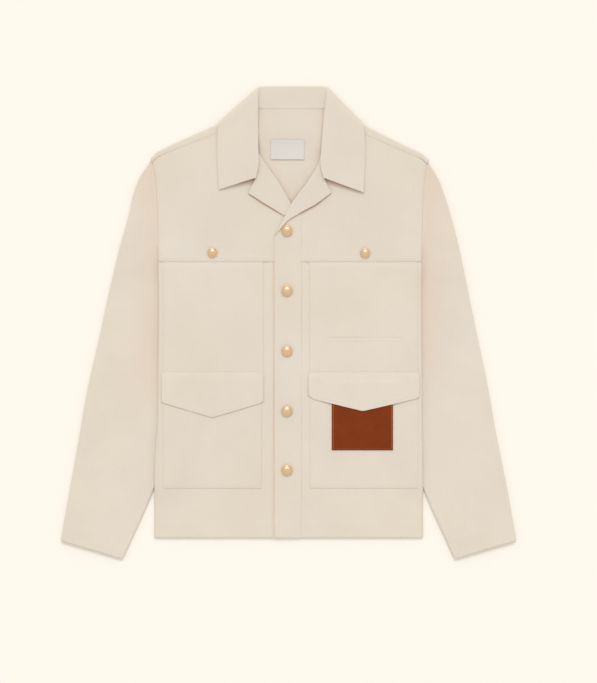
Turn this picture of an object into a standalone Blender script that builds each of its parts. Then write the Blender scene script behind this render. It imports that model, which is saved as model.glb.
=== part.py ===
import bpy
import numpy as np

for old in list(bpy.data.objects):
    bpy.data.objects.remove(old, do_unlink=True)

# A cotton jacket lying face up. All sizes are in millimetres, and MM turns them into metres.
# X runs across the jacket, Y from hem to collar, Z up from the surface that it lies on.
MM = 0.001

# Cloth
CLOTH = 1.3
TRIM = 1.1
SEAM_GAP = 0.3
BODY_GAP = 2.0

# Body
HEM_Y = -353.8
YOKE_Y = 100.0
NECK_Y = 352.4
NECK_HALF = 62.0
FRONT_MEET_X = 14.3
SIDE_ROLL = 5.0
SHOULDER_ROLL = 4.0
SHOULDER_SEAM_AT_NECK = 18.0
SHOULDER_SEAM_AT_ARM = 8.0
ARM_X = 228.5
ARM_SEAM_TOP_Y = 262.0
NECK_EDGE = ((55.0, 290.0), (60.0, 312.0), (69.0, 332.0))
NECK_CORNER_DROP = 5.5

# Heights that lift the body over the sleeves and over the back of the collar
TUCK_RISE = 4.6
TUCK_RAMP = 45.0
TUCK_LEVEL = 15.0
COLLAR_RISE = 1.9
COLLAR_RISE_FROM = 48.0
COLLAR_RISE_RAMP = 14.0
COLLAR_RISE_HALF = 150.0
TUCK_FADE = 45.0
TUCK_START_Y = -306.0
TUCK_END_Y = 150.0

# Sleeve
SLEEVE_HIGH = 6.4
SLEEVE_TUCKED = 4.0
SLEEVE_FOLD = 3.0
SLEEVE_RISE = 24.0
UNDERARM_X = 220.0
ARMHOLE_FADE = 2.0

# Button band, label and patches
BAND_LEFT_X = -25.7
BAND_RIGHT_X = 19.0
LABEL = {"x0": -31.8, "x1": 23.6, "y0": 269.0, "y1": 301.3}
LEATHER = {"x0": 67.7, "x1": 170.6, "y0": -210.2, "y1": -104.0, "thick": 1.5}
WELT = {"x0": 62.7, "x1": 189.8, "y0": -31.0, "y1": -25.4}

# Buttons
FRONT_BUTTON = {"radius": 9.0, "high": 5.6, "x": -5.0}
FRONT_BUTTON_Y = (151.1, 52.1, -46.9, -145.9, -243.2)
YOKE_BUTTON = {"radius": 7.9, "high": 5.0}
YOKE_BUTTON_SEAT = 0.4
YOKE_BUTTON_AT = {"left": (123.8, 114.3), "right": (-127.9, 115.2)}

# Body edge from hem to shoulder: half width at each height
BODY_EDGE = {
    "y": (HEM_Y, -100.0, YOKE_Y, 150.0, 205.0, 240.0, 270.0),
    "half": (219.6, 217.5, 216.5, 217.5, 219.5, 222.0, 228.5),
}

# Shoulder fold: height at each distance from the middle
SHOULDER = {
    "x": (65.0, 120.7, 205.0, 219.0, 228.5),
    "y": (352.4, 326.0, 286.0, 279.0, 270.0),
}

# Sleeve sections from armhole to cuff: outer fold and inner fold
SLEEVE = {
    "outer_x": (228.8, 246.0, 262.5, 280.5, 296.5, 313.0, 331.0, 347.0, 361.0, 375.4),
    "outer_y": (270.0, 238.5, 186.0, 120.0, 48.0, -30.0, -108.0, -200.0, -277.0, -358.5),
    "inner_x": (217.0, 217.9, 213.0, 198.0, 181.0, 170.0, 175.0, 196.0, 226.0, 273.0),
    "inner_y": (101.5, 95.0, 80.0, 56.0, 20.0, -45.0, -122.0, -205.0, -284.0, -388.6),
}

# Collar sections from the wearer's right front round the back of the neck to the left front:
# roll line, free edge, neck seam, and the angle that the fall has turned from facing up to facing down
COLLAR = {
    "roll_x": (-56.6, -51.5, -52.4, -52.8, -53.0, -53.3, -54.0, -48.0, -30.0, 4.0),
    "roll_y": (238.0, 262.0, 282.0, 310.0, 345.0, 372.0, 386.0, 388.6, 389.0, 389.3),
    "roll_z": (12.0, 12.0, 11.5, 10.6, 9.8, 8.6, 5.2, 2.6, 2.15, 2.15),
    "edge_x": (-117.0, -118.6, -119.4, -119.8, -120.2, -121.2, -122.6, -119.5, -90.0, 4.0),
    "edge_y": (219.0, 242.0, 266.0, 290.0, 310.0, 322.5, 330.4, 325.5, 319.0, 319.0),
    "edge_z": (9.4, 9.0, 8.6, 8.3, 8.2, 8.1, 4.2, 0.65, 0.65, 0.65),
    "seam_x": (-60.6, -57.6, -60.5, -62.5, -67.0, -68.0, -62.0, -50.0, -34.0, 4.0),
    "seam_y": (237.0, 261.0, 283.0, 312.0, 332.0, 343.0, 352.8, 353.0, 352.9, 352.8),
    "seam_z": (10.6, 10.3, 8.2, 7.4, 7.9, 7.9, 5.0, 2.8, 2.6, 2.6),
    "turn": (0.0, 0.0, 0.0, 0.0, 0.0, 18.0, 90.0, 165.0, 180.0, 180.0),
    "roll_shift": (-1.2, -1.5, -0.9, 0.7, 3.5, 7.7, 10.0, 8.0, 8.0, 8.0),
    "edge_shift": (4.2, 4.0, 4.0, 4.0, 4.0, 4.0, 4.0, 4.0, 8.0, 8.0),
}
COLLAR_POINT_DROP = 5.0
COLLAR_ROLL = 1.5

# Lapel sections from the collar down to the break: roll line and outer edge
LAPEL_ROLL = 2.2
ROLL_SEAM_GAP = 0.45
BAND_BLEND = 16.0
LAPEL_LEFT = {
    "roll_x": (50.5, 46.2, 31.4, 16.5, 1.7, -12.0, -24.8),
    "roll_y": (276.0, 260.0, 235.0, 214.5, 194.0, 167.7, 143.2),
    "edge_x": (62.0, 57.0, 68.3, 41.3, 16.5, -3.0, -20.5),
    "edge_y": (252.0, 236.0, 213.8, 194.0, 180.8, 168.5, 149.0),
    "lift": (0.0, 0.4, 2.2, 2.0, 1.4, 0.5, 0.0),
}
LAPEL_RIGHT = {
    "roll_x": (-49.0, -39.6, -16.5, -7.5, -0.5),
    "roll_y": (276.0, 260.0, 227.0, 211.0, 197.0),
    "edge_x": (-62.0, -57.6, -68.8, -44.0, -11.0),
    "edge_y": (252.0, 236.0, 213.3, 197.3, 176.0),
    "lift": (0.0, 0.4, 2.2, 2.0, 1.2),
}

# Patches on each lower front: sides, top, and the bottom edge
CHEST_POCKET = {
    "left": {"x0": 32.0, "x1": 210.0},
    "right": {"x0": -208.6, "x1": -44.0},
}
CHEST_POCKET_Y = (-80.9, 99.4)
POCKET = {
    "left": {"x0": 33.0, "x1": 210.4},
    "right": {"x0": -208.6, "x1": -46.9},
}
POCKET_Y = (-273.6, -81.5)
FLAP_TOP_Y = -81.5
FLAP_LIFT = 1.2
FLAP = {
    "left": {"x": (30.4, 38.0, 119.8, 209.6, 212.9), "y": (-119.5, -126.0, -145.9, -125.0, -121.0)},
    "right": {"x": (-211.2, -207.5, -128.0, -47.9, -43.9), "y": (-129.5, -132.7, -156.4, -132.7, -128.2)},
}

# Button outline from its base to the rim of its crown, as shares of radius and height
BUTTON_PROFILE = (
    (0.62, 0.0), (0.66, 0.2), (0.97, 0.26), (1.0, 0.36), (0.93, 0.55), (0.74, 0.78), (0.42, 0.94))

# Colours of the finishes, linear
CLOTH_COLOUR = (0.76, 0.68, 0.56, 1.0)
LEATHER_COLOUR = (0.22, 0.045, 0.011, 1.0)
BRASS_COLOUR = (0.83, 0.55, 0.22, 1.0)
LABEL_COLOUR = (0.83, 0.79, 0.71, 1.0)

# Where the panels are sampled
FRONT_ROWS = (HEM_Y, -332.0, -310.0, -290.0, -273.6, -255.0, -230.0, -200.0, -165.0, -125.0, -81.5,
              -40.0, 0.0, 40.0, 75.0, YOKE_Y)
FRONT_STEPS = (0.0, 0.1, 0.25, 0.4, 0.5, 0.58, 0.66, 0.74, 0.82, 0.9, 1.0)
YOKE_STEPS = (0.0, 0.08, 0.2, 0.35, 0.5, 0.62, 0.74, 0.84, 0.92, 1.0)
BACK_UPPER_ROWS = (0.1, 0.22, 0.34, 0.46, 0.58, 0.7, 0.8, 0.83, 0.86, 0.9, 0.95, 1.0)
BACK_STEPS = (0.0, 0.13, 0.265, 0.305, 0.4, 0.5, 0.57, 0.64, 0.72, 0.81, 0.91, 1.0)
YOKE_CLEAR = 1.0
YOKE_SIDE_ROWS = 5
ROLL_ANGLES = np.radians((60.0, 30.0, 0.0))
SHOULDER_ANGLES = np.radians((-60.0, -30.0, 0.0, 30.0, 60.0, 90.0))
FOLD_ANGLES = np.radians((0.0, 35.0, 65.0, 90.0))
TURN_ANGLES = np.radians((-90.0, -45.0, 0.0, 45.0))
LEAF_STEPS = (0.0, 0.35, 0.7, 1.0)
STAND_STEPS = (0.0, 0.35, 0.7)
FALL_STEPS = (0.0, 0.33, 0.67, 1.0)
BAND_TOP_STEPS = (0.35, 0.7, 1.0)
LABEL_COLUMNS = 4
FLAP_ROWS = (0.0, 0.35, 0.7, 1.0)
SLEEVE_STATIONS = (0.0, 0.33, 0.67, 1.0, 1.5, 2.0, 2.5, 3.0, 3.5, 4.0, 4.6, 5.3, 6.0, 7.0, 8.0, 9.0)
SLEEVE_COLUMNS = 7
LAPEL_SUB = 2
COLLAR_SUB = 3
PATCH_COLUMN_GAP = 3.0
BUTTON_SIDES = 16


def smooth_step(value):
    t = np.clip(value, 0.0, 1.0)
    return t * t * (3.0 - 2.0 * t)


def unit(vectors):
    return vectors / np.linalg.norm(vectors, axis=-1, keepdims=True)


def curve(knots, values, at):
    # A smooth curve through the values that never overshoots between two of them
    knots = np.asarray(knots, float)
    values = np.asarray(values, float)
    steps = np.diff(knots)
    slopes = np.diff(values) / steps
    product = slopes[:-1] * slopes[1:]
    total = np.where(product > 0.0, slopes[:-1] + slopes[1:], 1.0)
    inner = np.where(product > 0.0, 2.0 * product / total, 0.0)
    tangents = np.concatenate((slopes[:1], inner, slopes[-1:]))
    at = np.clip(at, knots[0], knots[-1])
    cell = np.clip(np.searchsorted(knots, at, side="right") - 1, 0, len(steps) - 1)
    step = steps[cell]
    t = (at - knots[cell]) / step
    start = (1.0 + 2.0 * t) * (1.0 - t) ** 2 * values[cell]
    start = start + t * (1.0 - t) ** 2 * step * tangents[cell]
    end = t * t * (3.0 - 2.0 * t) * values[cell + 1]
    end = end + t * t * (t - 1.0) * step * tangents[cell + 1]
    return start + end


def column(table, name, at):
    values = table[name]
    return curve(range(len(values)), values, at)


def edge_x(y):
    return curve(BODY_EDGE["y"], BODY_EDGE["half"], y)


def shoulder_y(x):
    return np.interp(np.abs(x), SHOULDER["x"], SHOULDER["y"])


def base_height(x, y):
    # Underside of the back: on the surface, but lifted over the sleeves and over the collar's fall
    inner = np.interp(y, SLEEVE["inner_y"][::-1], SLEEVE["inner_x"][::-1])
    over_sleeve = smooth_step((np.abs(x) - inner + TUCK_RAMP + TUCK_LEVEL) / TUCK_RAMP)
    over_sleeve = over_sleeve * smooth_step((TUCK_END_Y - y) / TUCK_FADE)
    over_sleeve = over_sleeve * smooth_step((y - TUCK_START_Y) / TUCK_FADE)
    over_collar = smooth_step((y - shoulder_y(x) + COLLAR_RISE_FROM) / COLLAR_RISE_RAMP)
    over_collar = over_collar * smooth_step((COLLAR_RISE_HALF - np.abs(x)) / TUCK_FADE)
    return TUCK_RISE * over_sleeve + COLLAR_RISE * over_collar


def front_height(x, y):
    # Outer face of the front
    return base_height(x, y) + CLOTH + BODY_GAP + CLOTH


def tangents(grid, along, ring=False):
    steps = unit(np.diff(grid, axis=along))
    if ring:
        closing = unit(grid.take([0], along) - grid.take([-1], along))
        steps = np.concatenate((closing, steps, closing), axis=along)
    else:
        steps = np.concatenate((steps.take([0], along), steps, steps.take([-1], along)), axis=along)
    count = grid.shape[along]
    return unit(steps.take(range(count), along) + steps.take(range(1, count + 1), along))


def finish(name, colour, metallic=0.0, roughness=0.85):
    material = bpy.data.materials.new(name)
    material.use_nodes = True
    shader = material.node_tree.nodes["Principled BSDF"]
    shader.inputs["Base Color"].default_value = colour
    shader.inputs["Metallic"].default_value = metallic
    shader.inputs["Roughness"].default_value = roughness
    return material


def solid(name, points, triangles, material):
    points = np.asarray(points, float)
    triangles = np.asarray(triangles, int)
    corners = points[triangles]
    if np.linalg.det(corners).sum() < 0.0:
        triangles = triangles[:, ::-1]
    mesh = bpy.data.meshes.new(name)
    mesh.from_pydata((points * MM).tolist(), [], triangles.tolist())
    mesh.materials.append(material)
    mesh.shade_smooth()
    body = bpy.data.objects.new(name, mesh)
    bpy.context.scene.collection.objects.link(body)
    return body


def wall(name, outer, inner, material, ring=False):
    # A closed wall between two grids of points; in a ring the columns close into a loop
    rows, columns = outer.shape[:2]
    index = np.arange(rows * columns).reshape(rows, columns)
    behind = rows * columns
    if ring:
        index = np.hstack((index, index[:, :1]))
    triangles = []
    for above, below in zip(index[:-1], index[1:]):
        for a, b, c, d in zip(above[:-1], above[1:], below[1:], below[:-1]):
            triangles += [(a, b, c), (a, c, d)]
            triangles += [(c + behind, b + behind, a + behind), (d + behind, c + behind, a + behind)]
    rims = [index[0], index[-1][::-1]]
    if not ring:
        rims += [index[:, -1], index[::-1, 0]]
    for rim in rims:
        for p, q in zip(rim[:-1], rim[1:]):
            triangles += [(q, p, p + behind), (q, p + behind, q + behind)]
    points = np.concatenate((outer.reshape(-1, 3), inner.reshape(-1, 3)))
    return solid(name, points, triangles, material)


def level_wall(name, top, thick, material):
    return wall(name, top, top - (0.0, 0.0, thick), material)


def turned(points, sign):
    return points * (sign, 1.0, 1.0)


# Lower fronts, worked out on the wearer's left and turned over for the right
def front_columns(meet, y):
    return meet + np.array(FRONT_STEPS) * (edge_x(y) - SIDE_ROLL - meet)


def front_surface(meet, x, y):
    # Height of the front's outer face at a point, as its rows and columns give it
    upper = int(np.clip(np.searchsorted(FRONT_ROWS, y), 1, len(FRONT_ROWS) - 1))
    rows = FRONT_ROWS[upper - 1:upper + 1]
    heights = []
    for row in rows:
        across = front_columns(meet, row)
        heights.append(np.interp(x, across, front_height(across, row)))
    return np.interp(y, rows, heights)


def front(name, sign, meet, material):
    rows = np.array(FRONT_ROWS)
    rows[-1] -= SEAM_GAP / 2
    grid = []
    for y in rows:
        across = front_columns(meet, y)
        flat = [(x, y, z) for x, z in zip(across, front_height(across, y))]
        side = edge_x(y)
        low = base_height(side, y) + CLOTH + SEAM_GAP
        high = BODY_GAP + CLOTH - SEAM_GAP
        roll = [(side - SIDE_ROLL * (1 - np.cos(a)), y, low + high * np.sin(a)) for a in ROLL_ANGLES]
        grid.append(flat + roll)
    outer = np.array(grid)
    normals = unit(np.cross(tangents(outer, 1), (0.0, 1.0, 0.0)))
    normals[:, -1] = (1.0, 0.0, 0.0)
    wall(name, turned(outer, sign), turned(outer - normals * CLOTH, sign), material)


def patch_columns(meet, x0, x1, y, breaks=()):
    across = front_columns(meet, y)
    inside = [x for x in across if x0 + PATCH_COLUMN_GAP < x < x1 - PATCH_COLUMN_GAP]
    kept = [x for x in inside if all(abs(x - b) > PATCH_COLUMN_GAP for b in breaks)]
    return sorted([x0, *kept, *breaks, x1])


def patch(name, sign, meet, sides, y_range, level, thick, material):
    # A patch made from the front's own rows and columns, moved out by its level
    y0, y1 = y_range
    rows = [y0] + [y for y in FRONT_ROWS if y0 + PATCH_COLUMN_GAP < y < y1 - PATCH_COLUMN_GAP] + [y1]
    grid = []
    for y in rows:
        across = patch_columns(meet, *sides, y)
        grid.append([(x, y, front_surface(meet, x, y) + level + thick) for x in across])
    level_wall(name, turned(np.array(grid), sign), thick, material)


def flap(name, sign, meet, bottom_x, bottom_y, level, material):
    grid = []
    across = patch_columns(meet, bottom_x[0], bottom_x[-1], FLAP_TOP_Y, bottom_x[1:-1])
    for t in FLAP_ROWS:
        row = []
        for x in across:
            y = FLAP_TOP_Y + t * (np.interp(x, bottom_x, bottom_y) - FLAP_TOP_Y)
            row.append((x, y, front_surface(meet, x, y) + level + FLAP_LIFT * t * t + TRIM))
        grid.append(row)
    level_wall(name, turned(np.array(grid), sign), TRIM, material)


# Lapel lines, shared by the lapels, the yokes and the button band
def lapel_lines(table):
    # Roll line, outer edge and lift of a lapel, with more sections between those of its table
    count = len(table["roll_x"])
    at = np.linspace(0, count - 1, LAPEL_SUB * (count - 1) + 1)
    roll = np.column_stack((column(table, "roll_x", at), column(table, "roll_y", at)))
    edge = np.column_stack([np.interp(at, range(count), table[key]) for key in ("edge_x", "edge_y")])
    return roll, edge, np.interp(at, range(count), table["lift"])


def roll_edge(table, sign):
    # The front's neck edge along the lapel's roll line
    roll, edge, _ = lapel_lines(table)
    return (roll + unit(edge - roll) * (LAPEL_ROLL + ROLL_SEAM_GAP)) * (sign, 1.0)


# Yokes
def yoke(name, sign, meet, lapel, material):
    along_roll = [point for point in roll_edge(lapel, sign)[::-1] if point[0] > meet + YOKE_CLEAR]
    corner = (meet, along_roll[0][1] - NECK_CORNER_DROP)
    neck = np.array([corner, *along_roll, *NECK_EDGE])
    below = [(meet, y) for y in np.linspace(YOKE_Y + SEAM_GAP / 2, corner[1], YOKE_SIDE_ROWS)[:-1]]
    inner = np.concatenate((below, neck))
    share = (inner[:, 1] - inner[0, 1]) / (inner[-1, 1] - inner[0, 1])
    arm_y = inner[0, 1] + share * (ARM_SEAM_TOP_Y - inner[0, 1])
    arm = np.column_stack((edge_x(arm_y), arm_y))
    steps = np.array(YOKE_STEPS)[None, :, None]
    plan = inner[:, None] * (1 - steps) + arm[:, None] * steps
    top = np.dstack((plan, front_height(plan[..., 0], plan[..., 1])))
    level_wall(name, turned(top, sign), CLOTH, material)


# Back, with the shoulders carried over the fold to the seam on the front
def back(material):
    across = np.concatenate((-np.array(BACK_STEPS)[:0:-1], BACK_STEPS))
    grid = []
    for step in across:
        top_x = step * edge_x(SHOULDER["y"][-1])
        fold_y = float(shoulder_y(top_x))
        last_y = fold_y - SHOULDER_ROLL
        ys = list(FRONT_ROWS) + [YOKE_Y + t * (last_y - YOKE_Y) for t in BACK_UPPER_ROWS]
        line = [(step * edge_x(y), y, base_height(step * edge_x(y), y)) for y in ys]
        low = line[-1][2]
        if abs(top_x) < NECK_HALF:
            neck_rows = np.linspace(last_y, NECK_Y, len(SHOULDER_ANGLES) + 2)[1:]
            line += [(line[-1][0], y, base_height(top_x, y)) for y in neck_rows]
        else:
            half = (2 * CLOTH + BODY_GAP) / 2
            for a in SHOULDER_ANGLES:
                y = last_y + SHOULDER_ROLL * np.cos(a)
                line.append((step * edge_x(y), y, low + half + half * np.sin(a)))
            seam_range = (SHOULDER_SEAM_AT_NECK, SHOULDER_SEAM_AT_ARM)
            seam = np.interp(abs(top_x), (NECK_HALF, ARM_X), seam_range)
            end_x = step * edge_x(fold_y - seam)
            line.append((end_x, fold_y - seam + SEAM_GAP, low + 2 * half))
        grid.append(line)
    outer = np.array(grid).transpose(1, 0, 2)
    normals = unit(np.cross(tangents(outer, 0), (-1.0, 0.0, 0.0)))
    wall("back", outer, outer + normals * CLOTH, material)


# Sleeve
def sleeve(name, sign, material):
    at = np.array(SLEEVE_STATIONS)
    outer_fold = np.column_stack((column(SLEEVE, "outer_x", at), column(SLEEVE, "outer_y", at)))
    inner_fold = np.column_stack((column(SLEEVE, "inner_x", at), column(SLEEVE, "inner_y", at)))
    rings = []
    sections = []
    for station, start, end in zip(at, outer_fold, inner_fold):
        width = np.linalg.norm(end - start)
        along = (end - start) / width
        fold = SLEEVE_FOLD * (1 - np.cos(FOLD_ANGLES))
        flat = np.linspace(SLEEVE_FOLD, width - SLEEVE_FOLD, SLEEVE_COLUMNS)[1:-1]
        offsets = np.concatenate((fold, flat, width - fold[::-1]))
        rise = np.concatenate((np.sin(FOLD_ANGLES), np.ones(len(flat)), np.sin(FOLD_ANGLES[::-1])))
        plan = start + offsets[:, None] * along
        seam = max(0.0, 1 - station / ARMHOLE_FADE) ** 2
        chord = np.interp(plan[:, 1], (end[1], start[1]), (end[0], start[0]))
        plan[:, 0] += (edge_x(plan[:, 1]) + SEAM_GAP - chord) * seam
        near = float(smooth_step(1 - station))
        shown = smooth_step((plan[:, 0] - UNDERARM_X) / SLEEVE_RISE)
        free_top = SLEEVE_TUCKED + (SLEEVE_HIGH - SLEEVE_TUCKED) * shown
        top = near * front_height(plan[:, 0], plan[:, 1]) + (1 - near) * free_top
        bottom = near * base_height(plan[:, 0], plan[:, 1])
        middle = (top + bottom) / 2
        half = (top - bottom) / 2
        upper = np.column_stack((plan, middle + half * rise))
        lower = np.column_stack((plan, middle - half * rise))[-2:0:-1]
        rings.append(np.concatenate((upper, lower)))
        sections.append((-along[1], along[0], 0.0))
    outer = np.array(rings)
    normals = unit(np.cross(tangents(outer, 1, ring=True), np.array(sections)[:, None]))
    wall(name, turned(outer, sign), turned(outer - normals * CLOTH, sign), material, ring=True)


# Lapel
def lapel(name, table, on_band, material):
    roll, edge, lift = lapel_lines(table)
    out = unit(edge - roll)
    low = front_height(roll[:, 0], roll[:, 1]) - CLOTH / 2
    if on_band:
        low = low + (SEAM_GAP + CLOTH) * smooth_step((BAND_RIGHT_X + BAND_BLEND - roll[:, 0]) / BAND_BLEND)
    grid = []
    for r, e, d, z, up in zip(roll, edge, out, low, lift):
        line = []
        for a in TURN_ANGLES:
            line.append((*(r + d * LAPEL_ROLL * (1 - np.cos(a))), z + LAPEL_ROLL * (1 + np.sin(a))))
        start = r + d * LAPEL_ROLL
        for t in LEAF_STEPS:
            line.append((*(start * (1 - t) + e * t), z + 2 * LAPEL_ROLL + up * t * t))
        grid.append(line)
    middle = np.array(grid)
    across = np.column_stack((-out[:, 1], out[:, 0], np.zeros(len(out))))
    normals = unit(np.cross(tangents(middle, 1), across[:, None]))
    wall(name, middle + normals * CLOTH / 2, middle - normals * CLOTH / 2, material)


# Collar
def collar_sections():
    rows = []
    count = len(COLLAR["turn"])
    for i in range(count):
        rows.append({key: COLLAR[key][i] for key in COLLAR})
    for right in rows[-2::-1]:
        row = dict(right)
        row["roll_x"] = right["roll_shift"] - right["roll_x"]
        row["edge_x"] = right["edge_shift"] - right["edge_x"]
        row["seam_x"] = right["edge_shift"] - right["seam_x"]
        rows.append(row)
    rows[-1]["edge_y"] -= COLLAR_POINT_DROP
    return rows


def collar(material):
    rows = collar_sections()
    at = np.linspace(0, len(rows) - 1, COLLAR_SUB * (len(rows) - 1) + 1)
    table = {key: [row[key] for row in rows] for key in rows[0]}
    roll, edge, seam = (
        np.column_stack([column(table, f"{line}_{axis}", at) for axis in "xyz"])
        for line in ("roll", "edge", "seam"))
    turn = np.radians(column(table, "turn", at))
    side = np.sign(at - (len(rows) - 1) / 2)
    grid = []
    for r, e, n, angle, hand in zip(roll, edge, seam, turn, side):
        d = unit(e - r)
        outward = unit(np.array((-d[1] * hand, d[0] * hand, 0.0))) if hand else np.zeros(3)
        facing = np.array((0.0, 0.0, np.cos(angle))) + outward * np.sin(angle)
        facing = unit(facing - d * np.dot(facing, d))
        centre = r + d * COLLAR_ROLL
        under = centre - facing * COLLAR_ROLL
        line = [n * (1 - t) + under * t for t in STAND_STEPS]
        for a in TURN_ANGLES:
            line.append(centre + COLLAR_ROLL * (facing * np.sin(a) - d * np.cos(a)))
        over = centre + facing * COLLAR_ROLL
        line += [over * (1 - t) + e * t for t in FALL_STEPS]
        grid.append(line)
    middle = np.array(grid)
    normals = unit(np.cross(tangents(middle, 1), tangents(middle, 0)))
    wall("collar", middle + normals * CLOTH / 2, middle - normals * CLOTH / 2, material)


# Button band on both fronts, its top edge along the left lapel's roll line
def placket(level, material):
    edge = roll_edge(LAPEL_LEFT, 1.0)[::-1]
    top_x = [BAND_LEFT_X, *edge[:, 0]]
    top_y = [edge[0, 1] - NECK_CORNER_DROP, *edge[:, 1]]
    across = np.array([BAND_LEFT_X, *edge[edge[:, 0] < BAND_RIGHT_X - PATCH_COLUMN_GAP, 0], BAND_RIGHT_X])
    rows = [np.full(len(across), y) for y in FRONT_ROWS]
    top = np.interp(across, top_x, top_y)
    rows += [YOKE_Y + (top - YOKE_Y) * t for t in BAND_TOP_STEPS]
    height = front_height(0.0, 0.0) + level + CLOTH
    grid = [[(x, y, height) for x, y in zip(across, row)] for row in rows]
    level_wall("placket", np.array(grid), CLOTH, material)


def neck_label(material):
    across = np.linspace(LABEL["x0"], LABEL["x1"], LABEL_COLUMNS)
    grid = [[(x, y, CLOTH + SEAM_GAP + TRIM) for x in across] for y in (LABEL["y0"], LABEL["y1"])]
    level_wall("neck_label", np.array(grid), TRIM, material)


def button(name, size, x, y, z, material):
    # A domed button turned about its own axis
    profile = np.array(BUTTON_PROFILE) * (size["radius"], size["high"])
    angles = np.linspace(0.0, 2 * np.pi, BUTTON_SIDES, endpoint=False)
    points = [(x + r * np.cos(a), y + r * np.sin(a), z + h) for r, h in profile for a in angles]
    top = len(points)
    points += [(x, y, z + size["high"]), (x, y, z)]
    triangles = []
    for k in range(BUTTON_SIDES):
        after = (k + 1) % BUTTON_SIDES
        for ring in range(len(profile) - 1):
            a, b = ring * BUTTON_SIDES + k, ring * BUTTON_SIDES + after
            triangles += [(a, b, b + BUTTON_SIDES), (a, b + BUTTON_SIDES, a + BUTTON_SIDES)]
        last = (len(profile) - 1) * BUTTON_SIDES
        triangles += [(last + k, last + after, top), (after, k, top + 1)]
    solid(name, points, triangles, material)


cotton = finish("cotton", CLOTH_COLOUR)
leather = finish("leather", LEATHER_COLOUR, roughness=0.55)
brass = finish("brass", BRASS_COLOUR, metallic=1.0, roughness=0.3)
woven_label = finish("woven_label", LABEL_COLOUR, roughness=0.7)

on_front = SEAM_GAP
on_patch = on_front + TRIM + SEAM_GAP
on_leather = on_patch + LEATHER["thick"] + SEAM_GAP

back(cotton)
collar(cotton)
lapel("lapel_left", LAPEL_LEFT, True, cotton)
lapel("lapel_right", LAPEL_RIGHT, False, cotton)
placket(on_front, cotton)
neck_label(woven_label)

sides = {
    "left": {"sign": 1.0, "meet": FRONT_MEET_X + SEAM_GAP / 2, "lapel": LAPEL_LEFT, "flap": on_leather},
    "right": {"sign": -1.0, "meet": -FRONT_MEET_X + SEAM_GAP / 2, "lapel": LAPEL_RIGHT, "flap": on_patch},
}
for hand, side in sides.items():
    sign = side["sign"]
    meet = side["meet"]
    front(f"front_{hand}", sign, meet, cotton)
    yoke(f"front_yoke_{hand}", sign, meet, side["lapel"], cotton)
    sleeve(f"sleeve_{hand}", sign, cotton)
    chest = sorted(sign * x for x in CHEST_POCKET[hand].values())
    patch(f"chest_pocket_{hand}", sign, meet, chest, CHEST_POCKET_Y, on_front, TRIM, cotton)
    lower = sorted(sign * x for x in POCKET[hand].values())
    patch(f"pocket_{hand}", sign, meet, lower, POCKET_Y, on_front, TRIM, cotton)
    order = slice(None, None, int(sign))
    bottom_x = [sign * x for x in FLAP[hand]["x"]][order]
    flap(f"flap_{hand}", sign, meet, bottom_x, FLAP[hand]["y"][order], side["flap"], cotton)
    x, y = YOKE_BUTTON_AT[hand]
    seat = float(front_height(x, y)) + YOKE_BUTTON_SEAT
    button(f"yoke_button_{hand}", YOKE_BUTTON, x, y, seat, brass)

left_meet = sides["left"]["meet"]
leather_sides = (LEATHER["x0"], LEATHER["x1"])
leather_rows = (LEATHER["y0"], LEATHER["y1"])
patch("leather_patch", 1.0, left_meet, leather_sides, leather_rows, on_patch, LEATHER["thick"], leather)
welt_sides = (WELT["x0"], WELT["x1"])
patch("chest_welt", 1.0, left_meet, welt_sides, (WELT["y0"], WELT["y1"]), on_patch, TRIM, cotton)

band_top = float(front_height(0.0, 0.0)) + on_front + CLOTH
for number, y in enumerate(FRONT_BUTTON_Y, 1):
    button(f"button_{number}", FRONT_BUTTON, FRONT_BUTTON["x"], y, band_top + SEAM_GAP, brass)
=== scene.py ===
import bpy
import numpy as np
from mathutils.bvhtree import BVHTree
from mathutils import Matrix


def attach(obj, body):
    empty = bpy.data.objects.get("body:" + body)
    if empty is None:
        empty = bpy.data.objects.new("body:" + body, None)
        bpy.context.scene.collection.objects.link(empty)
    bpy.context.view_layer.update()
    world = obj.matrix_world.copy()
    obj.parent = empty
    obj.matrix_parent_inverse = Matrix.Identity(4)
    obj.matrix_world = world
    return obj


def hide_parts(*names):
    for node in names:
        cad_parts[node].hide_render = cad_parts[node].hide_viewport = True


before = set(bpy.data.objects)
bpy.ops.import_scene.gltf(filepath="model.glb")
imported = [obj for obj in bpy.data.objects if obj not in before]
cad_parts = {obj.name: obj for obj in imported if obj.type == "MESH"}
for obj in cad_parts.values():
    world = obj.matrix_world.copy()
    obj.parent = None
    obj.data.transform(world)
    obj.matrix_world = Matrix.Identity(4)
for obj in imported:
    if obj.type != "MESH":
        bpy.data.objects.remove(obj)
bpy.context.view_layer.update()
mm = 0.001  # the shapes are worked out in millimetres and become metres in makeMesh
print("frame loaded", len(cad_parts), "nodes")

cloth = {"thick": 1.3, "trim": 1.1, "gap": 0.3, "hollow": 2.0, "cell": 3.0,
         "freeEdge": 0.16, "sewnEdge": 0.05, "flush": 0.01, "hold": 0.5, "holdShare": 0.5, "roundShare": 0.45}
hands = {"left": 1.0, "right": -1.0}  # the wearer's, with the sign of x


def smoothStep(value):
    t = np.clip(value, 0.0, 1.0)
    return t * t * (3.0 - 2.0 * t)


def near(distance, wide):  # 1 on a line, fading to 0 beside it
    return np.exp(-(distance / wide) ** 2)


def unit(vectors):
    return vectors / np.maximum(np.linalg.norm(vectors, axis=-1, keepdims=True), 1e-9)


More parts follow.
